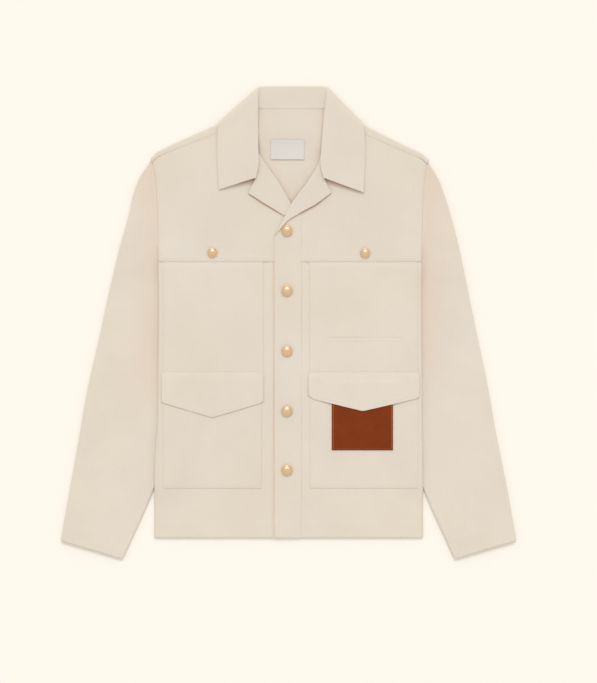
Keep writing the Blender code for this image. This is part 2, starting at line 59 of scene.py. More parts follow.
def curveThrough(knots, values, at):  # smooth, and never past the values on either side
    knots = np.asarray(knots, float)
    values = np.asarray(values, float)
    steps = np.diff(knots)
    slopes = np.diff(values) / steps
    product = slopes[:-1] * slopes[1:]
    total = np.where(product > 0.0, slopes[:-1] + slopes[1:], 1.0)
    inner = np.where(product > 0.0, 2.0 * product / total, 0.0)
    tilt = np.concatenate((slopes[:1], inner, slopes[-1:]))
    at = np.clip(at, knots[0], knots[-1])
    cell = np.clip(np.searchsorted(knots, at, side="right") - 1, 0, len(steps) - 1)
    h = steps[cell]
    t = (at - knots[cell]) / h
    start = (1 + 2 * t) * (1 - t) ** 2 * values[cell] + t * (1 - t) ** 2 * h * tilt[cell]
    return start + t * t * (3 - 2 * t) * values[cell + 1] + t * t * (t - 1) * h * tilt[cell + 1]


def rowAt(table, name, at):
    return curveThrough(range(len(table[name])), table[name], at)


def pointsAt(table, line, at, axes="XY"):
    return np.column_stack([rowAt(table, line + axis, at) for axis in axes])


def spread(start, end, cell=cloth["cell"]):
    return np.linspace(start, end, max(2, int(np.ceil(abs(end - start) / cell)) + 1))


def tangentsOf(grid, along, ring=False):
    steps = unit(np.diff(grid, axis=along))
    if ring:
        closing = unit(grid.take([0], along) - grid.take([-1], along))
        steps = np.concatenate((closing, steps, closing), axis=along)
    else:
        steps = np.concatenate((steps.take([0], along), steps, steps.take([-1], along)), axis=along)
    count = grid.shape[along]
    return unit(steps.take(range(count), along) + steps.take(range(1, count + 1), along))


def makeMesh(name, points, faces, material):
    points = np.asarray(points, float) * mm
    mesh = bpy.data.meshes.new(name)
    mesh.from_pydata(points.tolist(), [], faces)
    mesh.materials.append(material)
    mesh.shade_smooth()
    mesh.update()
    piece = bpy.data.objects.new(name, mesh)
    bpy.context.scene.collection.objects.link(piece)
    return piece


def volumeSign(points, faces):
    corners = np.asarray(points)[np.asarray(faces)]
    first = np.einsum("ij,ij->i", corners[:, 0], np.cross(corners[:, 1], corners[:, 2]))
    second = np.einsum("ij,ij->i", corners[:, 0], np.cross(corners[:, 2], corners[:, 3]))
    return np.sign((first + second).sum())


def holdLoops(grid, ring):  # a loop close beside each rim keeps the shading level up to the edge
    for axis in ((0,) if ring else (0, 1)):
        parts = []
        for edge, beside in ((0, 1), (-1, -2)):
            rim = grid.take([edge], axis)
            step = grid.take([beside], axis) - rim
            length = np.maximum(np.linalg.norm(step, axis=-1, keepdims=True), 1e-6)
            parts.append((rim, rim + step / length * np.minimum(cloth["hold"], cloth["holdShare"] * length)))
        middle = grid.take(range(1, grid.shape[axis] - 1), axis)
        grid = np.concatenate((*parts[0], middle, *parts[1][::-1]), axis=axis)
    return grid


def pullIn(grid, ring, edgeIn):  # the rim's loops move in a little, so that the cut edge is round
    moved = grid.copy()
    pairs = [(np.s_[0], np.s_[1]), (np.s_[-1], np.s_[-2])]
    if not ring:
        pairs += [(np.s_[:, 0], np.s_[:, 1]), (np.s_[:, -1], np.s_[:, -2])]
    for (edge, beside), amount in zip(pairs, np.broadcast_to(edgeIn, 4)):
        step = grid[beside] - grid[edge]
        length = np.maximum(np.linalg.norm(step, axis=-1, keepdims=True), 1e-6)
        moved[edge] += step / length * np.minimum(amount, cloth["roundShare"] * length)
    return moved


def clothShell(name, outer, inner, material, edgeIn=cloth["sewnEdge"], ring=False):
    outer, inner = (holdLoops(grid, ring) for grid in (outer, inner))
    rows, columns = outer.shape[:2]
    count = rows * columns
    index = np.arange(count).reshape(rows, columns)
    if ring:
        index = np.hstack((index, index[:, :1]))
    a, b, c, d = index[:-1, :-1], index[:-1, 1:], index[1:, 1:], index[1:, :-1]
    front = np.stack((a, b, c, d), axis=-1).reshape(-1, 4)
    faces = [front, front[:, ::-1] + count]
    middle = (outer + inner) / 2
    loops = [index[0], index[-1][::-1]]
    if not ring:
        loops = [np.concatenate((index[0], index[1:, -1], index[-1, -2::-1], index[-2::-1, 0]))]
    rimPoints = []
    for loop in loops:
        own = loop[:-1]
        first = 2 * count + len(rimPoints)
        rimPoints += list(middle.reshape(-1, 3)[own])
        half = np.arange(len(own)) + first
        after = np.roll(half, -1)
        p, q = own, np.roll(own, -1)
        faces.append(np.stack((q, p, half, after), axis=-1))
        faces.append(np.stack((after, half, p + count, q + count), axis=-1))
    points = [pullIn(grid, ring, edgeIn).reshape(-1, 3) for grid in (outer, inner)]
    points = np.concatenate((*points, rimPoints))
    faces = np.concatenate(faces)
    if volumeSign(points, faces) < 0:
        faces = faces[:, ::-1]
    return makeMesh(name, points, faces.tolist(), material)


def levelShell(name, top, thick, material, edgeIn=cloth["sewnEdge"]):
    return clothShell(name, top, top - np.array((0.0, 0.0, thick)), material, edgeIn)


def gridOf(x, y, z):
    return np.dstack(np.broadcast_arrays(x, y, z))


def inFrom(x, start, end):  # distance to the nearer end
    return np.minimum(x - start, end - x)


def finerEnd(turn, finer, coarse, fine):  # shares from 0 to 1, closer together at the end
    return np.concatenate((np.linspace(0, turn, coarse), np.linspace(finer, 1.0, fine)))


def bulge(x, start, end):  # 0 at both ends, 1 half way
    return np.sin(np.pi * (x - start) / (end - start))


def mirrored(points, sign):
    return points * np.array((sign, 1.0, 1.0))


# Form of the laid-out body: its edge, its shoulders, and the rise over sleeves and collar
body = {"hemY": -353.8, "yokeY": 100.0, "neckY": 352.4, "neckHalf": 62.0, "meetX": 14.3, "sideRoll": 5.0,
        "shoulderRoll": 4.0, "seamAtNeck": 18.0, "seamAtArm": 8.0, "armX": 228.5, "armSeamTopY": 262.0,
        "rightFlare": 4.6, "flareFrom": -150.0, "flareRamp": 90.0, "sideEase": 50.0}
bodyEdge = {"y": (-353.8, -100.0, 100.0, 150.0, 205.0, 240.0, 270.0),
            "half": (219.6, 217.5, 216.5, 217.5, 219.5, 222.0, 228.5)}
shoulder = {"x": (65.0, 120.7, 205.0, 219.0, 228.5), "y": (352.4, 326.0, 286.0, 279.0, 270.0),
            "rightUp": 2.2, "leftUp": -1.5, "from": 110.0, "ramp": 80.0, "until": 238.0, "fade": 15.0}
rise = {"tuck": 4.6, "ramp": 45.0, "level": 15.0, "fade": 45.0, "startY": -306.0, "endY": 150.0,
        "collar": 1.9, "collarFrom": 66.0, "collarRamp": 32.0, "collarHalf": 150.0}
sleeveLine = {
    "outerX": (228.8, 246.0, 262.5, 280.5, 296.5, 313.0, 331.0, 347.0, 361.0, 375.4),
    "outerY": (270.0, 238.5, 186.0, 120.0, 48.0, -30.0, -108.0, -200.0, -277.0, -358.5),
    "innerX": (217.0, 215.8, 211.5, 198.0, 181.0, 170.0, 175.0, 196.0, 226.0, 273.0),
    "innerY": (101.5, 95.0, 80.0, 56.0, 20.0, -45.0, -122.0, -205.0, -284.0, -388.6)}


def edgeX(y):
    return curveThrough(bodyEdge["y"], bodyEdge["half"], y)


def sideX(y, sign):  # the wearer's right side lies a little further out at the hem
    flare = smoothStep((body["flareFrom"] - y) / body["flareRamp"])
    return edgeX(y) + body["rightFlare"] * flare * (sign < 0)


def shoulderY(x):  # the wearer's right shoulder lies a little higher
    off = np.abs(x)
    share = smoothStep((off - shoulder["from"]) / shoulder["ramp"])
    share = share * smoothStep((shoulder["until"] - off) / shoulder["fade"])
    up = np.where(np.asarray(x) < 0, shoulder["rightUp"], shoulder["leftUp"])
    return np.interp(off, shoulder["x"], shoulder["y"]) + up * share


def baseHeight(x, y):
    inner = np.interp(y, sleeveLine["innerY"][::-1], sleeveLine["innerX"][::-1])
    tuck = smoothStep((np.abs(x) - inner + rise["ramp"] + rise["level"]) / rise["ramp"])
    tuck = tuck * smoothStep((rise["endY"] - y) / rise["fade"])
    tuck = tuck * smoothStep((y - rise["startY"]) / rise["fade"])
    behind = smoothStep((y - shoulderY(x) + rise["collarFrom"]) / rise["collarRamp"])
    behind = behind * smoothStep((rise["collarHalf"] - np.abs(x)) / rise["fade"])
    return rise["tuck"] * tuck + rise["collar"] * behind


# Creases: each runs from one point to another, as a soft trough (below 0) or ridge (above 0)
creaseForm = {"bow": 0.06, "past": 0.15, "fade": 0.4}


def creaseLift(x, y, creases):
    lift = np.zeros(np.broadcast(x, y).shape)
    for x0, y0, x1, y1, wide, deep in creases:
        length = np.hypot(x1 - x0, y1 - y0)
        ux, uy = (x1 - x0) / length, (y1 - y0) / length
        along = ((x - x0) * ux + (y - y0) * uy) / length
        off = (x - x0) * -uy + (y - y0) * ux
        off = off - creaseForm["bow"] * length * np.sin(np.pi * np.clip(along, 0, 1)) * np.sign(deep)
        ends = smoothStep((along + creaseForm["past"]) / creaseForm["fade"])
        ends = ends * smoothStep((1 + creaseForm["past"] - along) / creaseForm["fade"])
        lift = lift + deep * near(off, wide) * ends
    return lift


# x0, y0, x1, y1, width and height in millimetres
frontCreases = (
    (150, 262, 138, 130, 13, -0.75), (176, 258, 168, 118, 12, 0.6), (196, 250, 190, 120, 9, -0.55),
    (96, 205, 104, 112, 14, 0.45), (78, 190, 74, 106, 11, -0.45), (40, 168, 44, 104, 9, 0.35),
    (-92, 200, -98, 108, 13, -0.45), (-160, 255, -150, 128, 15, 0.5), (-190, 240, -186, 122, 11, -0.5),
    (-66, 190, -58, 110, 12, 0.4), (26, 92, 28, -60, 6, -0.35), (-36, 90, -34, -70, 7, -0.3),
    (-120, 88, -150, 20, 20, 0.35), (-180, 60, -140, -40, 18, -0.4), (60, 70, 90, 8, 20, 0.35),
    (150, 86, 176, 22, 18, -0.35), (120, -38, 104, -76, 20, 0.3), (-90, -10, -70, -72, 22, 0.35),
    (-150, -170, -120, -262, 24, -0.35), (-70, -160, -86, -255, 18, 0.3), (186, -150, 178, -262, 16, -0.35),
    (52, -140, 56, -262, 12, 0.3), (26, -110, 29, -340, 6, -0.3), (-37, -120, -36, -345, 7, -0.3),
    (-170, -285, -150, -348, 16, 0.35), (-96, -282, -104, -350, 18, -0.3), (70, -284, 64, -350, 16, 0.3),
    (140, -280, 152, -350, 20, -0.35), (196, -290, 190, -348, 12, 0.3))
seamDrop = {"deep": 1.3, "wide": 6.0, "bare": 0.4, "patchLeft": 28.0, "patchRight": 39.5, "ramp": 6.0}


def frontTop(x, y, dip=True):
    flat = baseHeight(x, y) + 2 * cloth["thick"] + cloth["hollow"] + creaseLift(x, y, frontCreases)
    if not dip:
        return flat
    below = np.maximum(body["yokeY"] - y, 0.0)  # a front goes down into the yoke seam with its chest patch
    patchX = np.where(np.asarray(x) > 0, seamDrop["patchLeft"], seamDrop["patchRight"])
    patched = smoothStep((np.abs(x) - patchX) / seamDrop["ramp"] + 1)
    deep = seamDrop["deep"] * (seamDrop["bare"] + (1 - seamDrop["bare"]) * patched)
    return flat - deep * near(below, seamDrop["wide"]) * (y < body["yokeY"])


# Sewn edges: double cloth, pressed down at the rim and along the thread
sewn = {"inset": 5.0, "threadWide": 0.9, "double": 7.5, "ramp": 3.0, "thick": 0.16, "press": 0.3,
        "pressWide": 0.8, "thread": 0.1, "rim": 0.22, "rimWide": 2.0,
        "beside": (0.0, 0.7, 1.6, 2.6, 3.6, 4.4, 5.0, 5.6, 6.4, 7.6, 9.2), "plain": 11.5}


def sewnSpread(start, end, cell=cloth["cell"]):  # samples lie closer together beside the edges
    beside = np.array(sewn["beside"])
    middle = spread(start + sewn["plain"], end - sewn["plain"], cell)
    return np.concatenate((start + beside, middle, end - beside[::-1]))


def foldedEdge(distance, thick, thread):
    double = thick * (1 - smoothStep((distance - sewn["double"]) / sewn["ramp"]))
    return double - thread * near(distance - sewn["inset"], sewn["threadWide"])


def sewnEdge(distance):
    pressed = sewn["press"] * np.exp(-distance / sewn["pressWide"])
    return foldedEdge(distance, sewn["thick"], sewn["thread"]) - pressed


def pressedTo(least, distance, wide):  # a share of the height that goes down to the least at a rim
    return least + (1 - least) * (1 - np.exp(-distance / wide))


def rimShare(distance):  # pressed thin at a sewn-down rim
    return pressedTo(sewn["rim"], np.maximum(distance, 0), sewn["rimWide"])


def seamDip(distance, deep, wide):
    return -deep * near(distance, wide)


pieces = {}
hem = {"deep": 21.0, "double": 0.25, "ramp": 9.0}


def hemLift(distance):
    return hem["double"] * (1 - smoothStep((distance - hem["deep"]) / hem["ramp"]))


# Lower fronts, worked out on the wearer's left (+x) and turned over for the right
frontForm = {"hem": 30.0, "hemCell": 1.5, "from": 33.0, "cell": 3.4, "columns": 62, "armhole": 0.1,
             "roll": (78, 64, 50, 36, 22, 10, 0), "seamGap": 0.05}


def frontSide(sign):
    return sign * body["meetX"] + cloth["gap"] / 2


def frontPanel(name, sign, material):
    meet = frontSide(sign)
    hemRows = spread(body["hemY"], body["hemY"] + frontForm["hem"], frontForm["hemCell"])
    seamY = body["yokeY"] - frontForm["seamGap"]
    rows = np.concatenate((hemRows, spread(body["hemY"] + frontForm["from"], seamY, frontForm["cell"])))
    angles = np.radians(frontForm["roll"])
    share = np.linspace(0, 1, frontForm["columns"])[None, :]
    y = rows[:, None]
    across = meet + share * (sideX(y, sign) - body["sideRoll"] - meet)
    top = frontTop(sign * across, y) + hemLift(y - body["hemY"])
    flat = gridOf(across, y, top)
    side = sideX(y, sign)
    low = baseHeight(side, y) + cloth["thick"] + cloth["gap"]
    full = smoothStep((body["yokeY"] - y) / body["sideEase"])  # the side is still level at the armhole
    high = (top[:, -1:] - low) * (frontForm["armhole"] + (1 - frontForm["armhole"]) * full)
    low = top[:, -1:] - high
    rollX = side - body["sideRoll"] * (1 - np.cos(angles))
    roll = gridOf(rollX, y, low + high * np.sin(angles))
    outer = np.concatenate((flat, roll), axis=1)
    normals = unit(np.cross(tangentsOf(outer, 1), (0.0, 1.0, 0.0)))
    normals[:, -1] = unit(normals[:, -1] * (1 - full) + np.array((1.0, 0.0, 0.0)) * full)
    inner = outer - normals * cloth["thick"]
    return clothShell(name, mirrored(outer, sign), mirrored(inner, sign), material)


# Patches sewn on a front
patchForm = {"far": 60.0, "underRim": 0.25, "hardRim": 0.3, "hardWide": 0.6, "double": 0.1, "thread": 0.08,
             "slitDeep": 0.6, "slitWide": 0.7, "slitEnd": 5.0, "slitWorn": 0.55, "slitRows": (-3.0, 3.1, 0.5)}


def patchPanel(name, box, level, thick, material, slump=0.0):
    x = sewnSpread(box["x0"], box["x1"])[None, :]
    rows = sewnSpread(box["y0"], box["y1"])
    if "slitY" in box:
        rows = np.sort(np.concatenate((rows, box["slitY"] + np.arange(*patchForm["slitRows"]))))
    y = rows[:, None]
    sides = inFrom(x, box["x0"], box["x1"])
    low = patchForm["far"] if "low" in box else y - box["y0"]
    rim = np.minimum(sides, np.minimum(low, patchForm["far"] if "tucked" in box else box["y1"] - y))
    pressed = 1.0
    thin = 1 - patchForm["hardRim"] * np.exp(-rim / patchForm["hardWide"])
    if "hard" not in box:
        pressed = pressedTo(patchForm["underRim"], rim, sewn["rimWide"])
        thin = rimShare(rim)
    under = frontTop(x, y) + level * pressed
    top = frontTop(x, y) + level + thick
    top = under + (top - under) * thin
    top = top + foldedEdge(rim, patchForm["double"], patchForm["thread"])
    top = top + slump * bulge(x, box["x0"], box["x1"]) * bulge(y, box["y0"], box["y1"])
    if "slitY" in box:
        start, end, ramp = box["slit0"], box["slit1"], patchForm["slitEnd"]
        onSlit = smoothStep((x - start) / ramp) * smoothStep((end - x) / ramp)
        worn = 1.0 - patchForm["slitWorn"] * smoothStep((x - start) / (end - start))
        top = top + onSlit * worn * seamDip(y - box["slitY"], patchForm["slitDeep"], patchForm["slitWide"])
    edgeIn = (cloth["flush"] if "low" in box else cloth["sewnEdge"], *[cloth["sewnEdge"]] * 3)
    return clothShell(name, gridOf(x, y, top), gridOf(x, y, under), material, edgeIn)


leatherBox = {"x0": 68.8, "x1": 169.3, "y0": -210.2, "y1": -104.0, "hard": True}
flapTop = {"y": -81.0, "lift": 0.45, "ramp": 11.0, "start": 0.3, "onPatch": 1.6, "overLeather": 1.7,
           "drape": 22.0, "onLeather": 20.0, "overFrom": 9.0, "overRamp": 12.0, "droop": 0.7,
           "droopWide": 2.5, "droopRamp": 6.0, "slant": 0.96, "round": 2.2, "wave": 0.15, "waveLong": 19.0,
           "cell": 2.6, "rows": (0.7, 0.73, 20, 13)}
flapWave = {"left": 2.0, "right": 0.4}
flapBottom = {
    "left": {"x": (30.4, 38.0, 119.8, 209.6, 212.9), "y": (-119.5, -126.0, -145.9, -125.0, -121.0)},
    "right": {"x": (-211.2, -207.5, -128.0, -47.9, -43.9), "y": (-129.5, -132.7, -156.4, -132.7, -128.2)}}


def flapLine(hand, x, inset=0.0):  # the flap's lower edge; its point is a little round
    shape = flapBottom[hand]
    beside = (-1, -0.4, 0, 0.4, 1)
    total = sum(np.interp(x + d * flapTop["round"], shape["x"], shape["y"]) for d in beside)
    return total / len(beside) + inset


def flapHeight(hand, x, y):  # level with the chest patch at its seam, then over the pocket and the leather
    t = np.clip((flapTop["y"] - y) / (flapTop["y"] - flapLine(hand, x)), 0, 1)
    shape = flapBottom[hand]
    sides = inFrom(x, shape["x"][0], shape["x"][-1])
    rim = np.minimum(sides, flapTop["slant"] * (y - flapLine(hand, x)))
    down = flapTop["y"] - y
    level = flapTop["start"] + (flapTop["onPatch"] - flapTop["start"]) * smoothStep(down / flapTop["ramp"])
    droop = np.exp(-np.maximum(sides, 0) / flapTop["droopWide"]) * smoothStep(down / flapTop["droopRamp"])
    level = level - flapTop["droop"] * droop
    if hand == "left":
        over = smoothStep((x - leatherBox["x0"] + flapTop["drape"]) / flapTop["onLeather"])
        over = over * smoothStep((leatherBox["x1"] + flapTop["drape"] - x) / flapTop["onLeather"])
        over = over * smoothStep((down - flapTop["overFrom"]) / flapTop["overRamp"])
        level = level + flapTop["overLeather"] * over
    wave = flapTop["wave"] * (1 + np.sin(x / flapTop["waveLong"] + flapWave[hand]))
    return frontTop(x, y) + level + (flapTop["lift"] + wave) * t * t + cloth["trim"] + sewnEdge(rim)


def flapPanel(name, hand, material):
    shape = flapBottom[hand]
    x = sewnSpread(shape["x"][0], shape["x"][-1], flapTop["cell"])[None, :]
    t = finerEnd(*flapTop["rows"])[:, None]
    y = flapTop["y"] + t * (flapLine(hand, x) - flapTop["y"])
    top = flapHeight(hand, x, y)
    edgeIn = (cloth["flush"], *[cloth["freeEdge"]] * 3)  # flush with the chest patch at its seam
    return levelShell(name, gridOf(x, y, top), cloth["trim"], material, edgeIn)


# Lapels: roll line, outer edge and lift, from the collar down to the break
lapelForm = {"roll": 2.2, "seamGap": 0.45, "blend": 16.0, "sub": 8, "sewnFrom": 14.0,
             "leaf": (0.75, 0.79, 10, 8), "turn": (-90, 90, 15)}
lapelLine = {
    "left": {"rollX": (53.5, 46.2, 31.4, 16.5, 1.7, -12.0, -24.8),
             "rollY": (281.0, 260.0, 235.0, 214.5, 194.0, 167.7, 143.2),
             "edgeX": (62.0, 57.0, 68.3, 41.3, 16.5, -3.0, -20.5),
             "edgeY": (252.0, 236.0, 213.8, 194.0, 180.8, 168.5, 149.0),
             "rise": (1.6, 3.0, 1.4, 1.7, 1.8, 1.3, 1.0),
             "radius": (1.2, 2.1, 2.2, 1.8, 1.25, 1.0, 0.95)},
    "right": {"rollX": (-54.0, -39.6, -16.5, -7.0, 1.5), "rollY": (281.0, 260.0, 227.0, 210.5, 195.3),
              "edgeX": (-62.0, -57.6, -68.8, -44.0, -8.8), "edgeY": (252.0, 236.0, 213.3, 197.3, 176.0),
              "rise": (1.6, 3.0, 2.4, 2.6, 1.1), "radius": (1.2, 2.1, 2.0, 1.5, 1.0)}}
band = {"x0": -25.7, "x1": 19.0, "cornerDrop": 5.5, "cell": 2.6, "rowCell": 3.4, "upper": 26, "flat": 0.07,
        "flatWide": 5.0, "drawn": 0.25, "drawnWide": 60.0, "wave": 0.15, "waveLong": 23.0,
        "stitchTop": {"x0": 143.0, "x1": 206.0}}


def lapelSections(hand):
    table = lapelLine[hand]
    count = len(table["rollX"])
    at = np.linspace(0, count - 1, lapelForm["sub"] * (count - 1) + 1)
    roll = pointsAt(table, "roll", at)
    straight = {key: np.interp(at, range(count), table[key]) for key in ("edgeX", "edgeY", "rise", "radius")}
    return roll, np.column_stack((straight["edgeX"], straight["edgeY"])), straight["rise"], straight["radius"]


def rollEdge(hand, sign):
    roll, edge = lapelSections(hand)[:2]
    return (roll + unit(edge - roll) * (lapelForm["roll"] + lapelForm["seamGap"])) * np.array((sign, 1.0))


def lapelPanel(name, hand, material):
    roll, edge, rises, radii = lapelSections(hand)
    out = unit(edge - roll)
    flat = baseHeight(roll[:, 0], roll[:, 1]) + 2 * cloth["thick"] + cloth["hollow"]
    low = flat - cloth["thick"] / 2
    if hand == "left":
        onBand = smoothStep((band["x1"] + lapelForm["blend"] - roll[:, 0]) / lapelForm["blend"])
        low = low + (cloth["gap"] + cloth["thick"]) * onBand
    angles = np.radians(np.arange(*lapelForm["turn"]))
    t = finerEnd(*lapelForm["leaf"])
    grid = []
    for r, e, d, z, up, bend in zip(roll, edge, out, low, rises, radii):
        line = [(*(r + d * bend * (1 - np.cos(a))), z + bend * (1 + np.sin(a))) for a in angles]
        start = r + d * bend
        leaf = np.linalg.norm(e - start)
        for s in t:
            lip = sewnEdge(leaf * (1 - s)) if leaf > lapelForm["sewnFrom"] else 0.0
            high = 2 * bend * (1 - smoothStep(s)) + (cloth["thick"] / 2 + up) * smoothStep(s)
            line.append((*(start * (1 - s) + e * s), z + high + lip))
        grid.append(line)
    middle = np.array(grid)
    across = np.column_stack((-out[:, 1], out[:, 0], np.zeros(len(out))))
    normals = unit(np.cross(tangentsOf(middle, 1), across[:, None]))
    half = normals * cloth["thick"] / 2
    return clothShell(name, middle + half, middle - half, material, cloth["freeEdge"])


# Yokes
yokeForm = {"neck": ((55.0, 290.0), (60.0, 312.0), (69.0, 332.0)), "armDip": 0.5, "armWide": 7.0,
            "columns": 66, "cell": 3.4, "gap": 0.05, "cornerGap": 0.6, "cornerX": 212.0, "cornerRamp": 4.0,
            "bend": 5, "clear": 1.0}


def shoulderSeamY(x):
    seam = np.interp(np.abs(x), (body["neckHalf"], body["armX"]), (body["seamAtNeck"], body["seamAtArm"]))
    return shoulderY(x) - seam


def backSeamY(x):  # where the back's turned edge ends, at the cloth's own x
    y = shoulderSeamY(x)
    for _ in range(3):
        y = shoulderSeamY(x * body["armX"] / edgeX(y))
    return y


def yokeHeight(x, y):
    top = frontTop(x, y, dip=False) + sewnEdge(np.maximum(y - body["yokeY"], 0.0))
    return top + seamDip(edgeX(y) - np.abs(x), yokeForm["armDip"], yokeForm["armWide"])


def yokePanel(name, hand, material):
    sign = hands[hand]
    meet = frontSide(sign)
    alongRoll = [p for p in rollEdge(hand, sign)[::-1] if p[0] > meet + yokeForm["clear"]]
    corner = (meet, alongRoll[0][1] - band["cornerDrop"])
    neckX, neckY = np.array([*alongRoll[-1:], *yokeForm["neck"]]).T
    upper = spread(neckY[0], neckY[-1], yokeForm["cell"])[1:]
    upperNeck = np.column_stack((curveThrough(neckY, neckX, upper), upper))
    start = body["yokeY"] + yokeForm["gap"]
    low = sewnSpread(start, corner[1])
    low = low[low < corner[1] - yokeForm["clear"]]
    lowEdge = np.column_stack((np.full(len(low), meet), low))
    inner = np.concatenate((lowEdge, [corner], alongRoll, upperNeck))
    share = (inner[:, 1] - start) / (inner[-1, 1] - start)
    armY = start + share * (body["armSeamTopY"] - start)
    arm = np.column_stack((edgeX(armY), armY))
    steps = np.linspace(0, 1, yokeForm["columns"])[None, :, None]
    plan = inner[:, None] * (1 - steps) + arm[:, None] * steps
    lastX, lastY = plan[-1:, :, 0], plan[-1:, :, 1]
    corner = smoothStep((lastX - yokeForm["cornerX"]) / yokeForm["cornerRamp"])
    clear = yokeForm["gap"] + yokeForm["cornerGap"] * corner
    plan[..., 1] += (share[:, None] ** yokeForm["bend"]) * (backSeamY(sign * lastX) - clear - lastY)
    plan[:, -1, 0] = edgeX(plan[:, -1, 1])
    x, y = sign * plan[..., 0], plan[..., 1]
    return levelShell(name, gridOf(x, y, yokeHeight(x, y)), cloth["thick"], material)


# Back, carried over the shoulder fold to the seam on the front; its inside shows in the neck opening
backCreases = ((6, 268, 4, 205, 5, 0.8), (-20, 262, -34, 226, 9, 0.6), (24, 262, 40, 232, 8, 0.55),
               (-44, 300, -30, 330, 8, 0.5), (38, 304, 26, 336, 9, 0.55), (-6, 250, -16, 212, 6, 0.5),
               (14, 232, 26, 200, 7, 0.6), (-28, 312, 20, 318, 6, 0.35),
               (-150, 190, -120, 60, 16, 0.45), (120, 205, 138, 84, 13, 0.5), (-60, 60, -96, -70, 18, 0.4),
               (40, 20, 22, -120, 15, 0.35), (150, -40, 118, -150, 19, 0.45),
               (-170, -110, -140, -230, 14, 0.5), (-30, -190, -12, -300, 12, 0.35),
               (96, -210, 84, -330, 16, 0.4), (182, -230, 172, -320, 10, 0.3))
neckRight = {"y": (197, 211, 227, 260, 276, 310, 345, 388),
             "x": (-0.5, -7.5, -16.5, -39.6, -49, -52.8, -53, -50)}
neckLeft = {"y": (143, 168, 194, 214, 235, 260, 276, 310, 345, 388),
            "x": (-24.8, -12, 1.7, 16.5, 31.4, 46.2, 50.5, 53.5, 56.5, 58)}
neckRise = {"y": (190, 230, 255, 266, 277, 289, 310, 330, 351),
            "z": (0, 0.9, 1.2, 1.2, 1.7, 4.0, 3.4, 2.4, 0), "wide": 24.0, "hidden": 3.4, "crest": -0.3}


def neckOff(x, y):  # distance from the right and from the left side of the neck opening
    right = x - np.interp(y, neckRight["y"], neckRight["x"])
    return right, np.interp(y, neckLeft["y"], neckLeft["x"]) - x


def backLift(x, y):  # the back climbs to the collar at both sides of the neck
    climb = 0.0
    for off in neckOff(x, y):
        hidden = smoothStep((off + neckRise["hidden"]) / (neckRise["hidden"] + neckRise["crest"]))
        climb = np.maximum(climb, smoothStep(1 - np.maximum(off, 0) / neckRise["wide"]) * hidden)
    climb = climb * np.interp(y, neckRise["y"], neckRise["z"])
    return baseHeight(x, y) + creaseLift(x, y, backCreases) + climb


backForm = {"columns": 131, "hem": 28.0, "hemCell": 2.5, "from": 33.0, "until": 96.0, "cell": 5.0,
            "upper": 72, "turn": (-75, 91, 15), "seamGap": 0.05, "overTop": 5}


def backPanel(name, material):
    steps = np.linspace(-1, 1, backForm["columns"])
    hemRows = spread(body["hemY"], body["hemY"] + backForm["hem"], backForm["hemCell"])
    midRows = spread(body["hemY"] + backForm["from"], backForm["until"], backForm["cell"])
    lowRows = np.concatenate((hemRows, midRows))
    angles = np.radians(np.arange(*backForm["turn"]))
    grid = []
    for step in steps:
        topX = step * body["armX"]
        foldY = float(shoulderY(topX))
        lastY = foldY - body["shoulderRoll"]
        y = np.concatenate((lowRows, np.linspace(body["yokeY"], lastY, backForm["upper"])))
        x = step * sideX(y, step)
        line = np.column_stack((x, y, backLift(x, y)))
        base = line[-1, 2]
        seam = foldY - float(shoulderSeamY(topX))
        flatTop = np.linspace(body["shoulderRoll"], seam - backForm["seamGap"], backForm["overTop"])[1:]
        if abs(topX) < body["neckHalf"]:
            y = np.linspace(lastY, body["neckY"], len(angles) + len(flatTop) + 1)[1:]
            wrap = np.column_stack((np.full(len(y), x[-1]), y, backLift(topX, y)))
        else:
            half = cloth["thick"] + cloth["hollow"] / 2
            y = np.concatenate((lastY + body["shoulderRoll"] * np.cos(angles), foldY - flatTop))
            z = np.concatenate((base + half * (1 + np.sin(angles)), np.full(len(flatTop), base + 2 * half)))
            wrap = np.column_stack((step * edgeX(y), y, z))
        grid.append(np.concatenate((line, wrap)))
    outer = np.array(grid).transpose(1, 0, 2)
    normals = unit(np.cross(tangentsOf(outer, 0), (-1.0, 0.0, 0.0)))
    return clothShell(name, outer, outer + normals * cloth["thick"], material)


# Sleeves: a tube each, flat underneath, its inner fold tucked below the body
sleeveForm = {"high": 6.4, "tucked": 4.0, "fold": 3.0, "rise": 14.0, "beside": 0.5, "armFade": 2.0,
              "seamDip": 0.8, "seamWide": 11.0, "seamRow": 33.0, "cuffRow": 82.0, "stations": 190,
              "columns": 44, "gap": 0.08, "topGap": 0.3, "topY": 258.0, "topRamp": 8.0, "outerEase": 14.0,
              "innerEase": 30.0, "startEase": 0.25, "underCrease": 0.4, "headPeak": 0.65, "headSoft": 1.4,
              "headUp": 0.5, "headRows": 24, "headEnd": 0.5, "cuffLong": 0.45, "cuffRows": 34, "tipLong": 0.5,
              "leanFrom": 1.5, "leanRamp": 3.0, "slimAt": 6.4, "slimLong": 1.0,
              "turn": (0, 18, 36, 54, 72, 90)}
sleeveHand = {  # the full head, and how each sleeve lies
    "left": {"head": 4.5, "headLong": 1.75, "tip": -1.0, "lean": -2.4, "slim": 2.4},
    "right": {"head": 8.0, "headLong": 2.3, "tip": 1.5, "lean": 2.4, "slim": 0.0}}
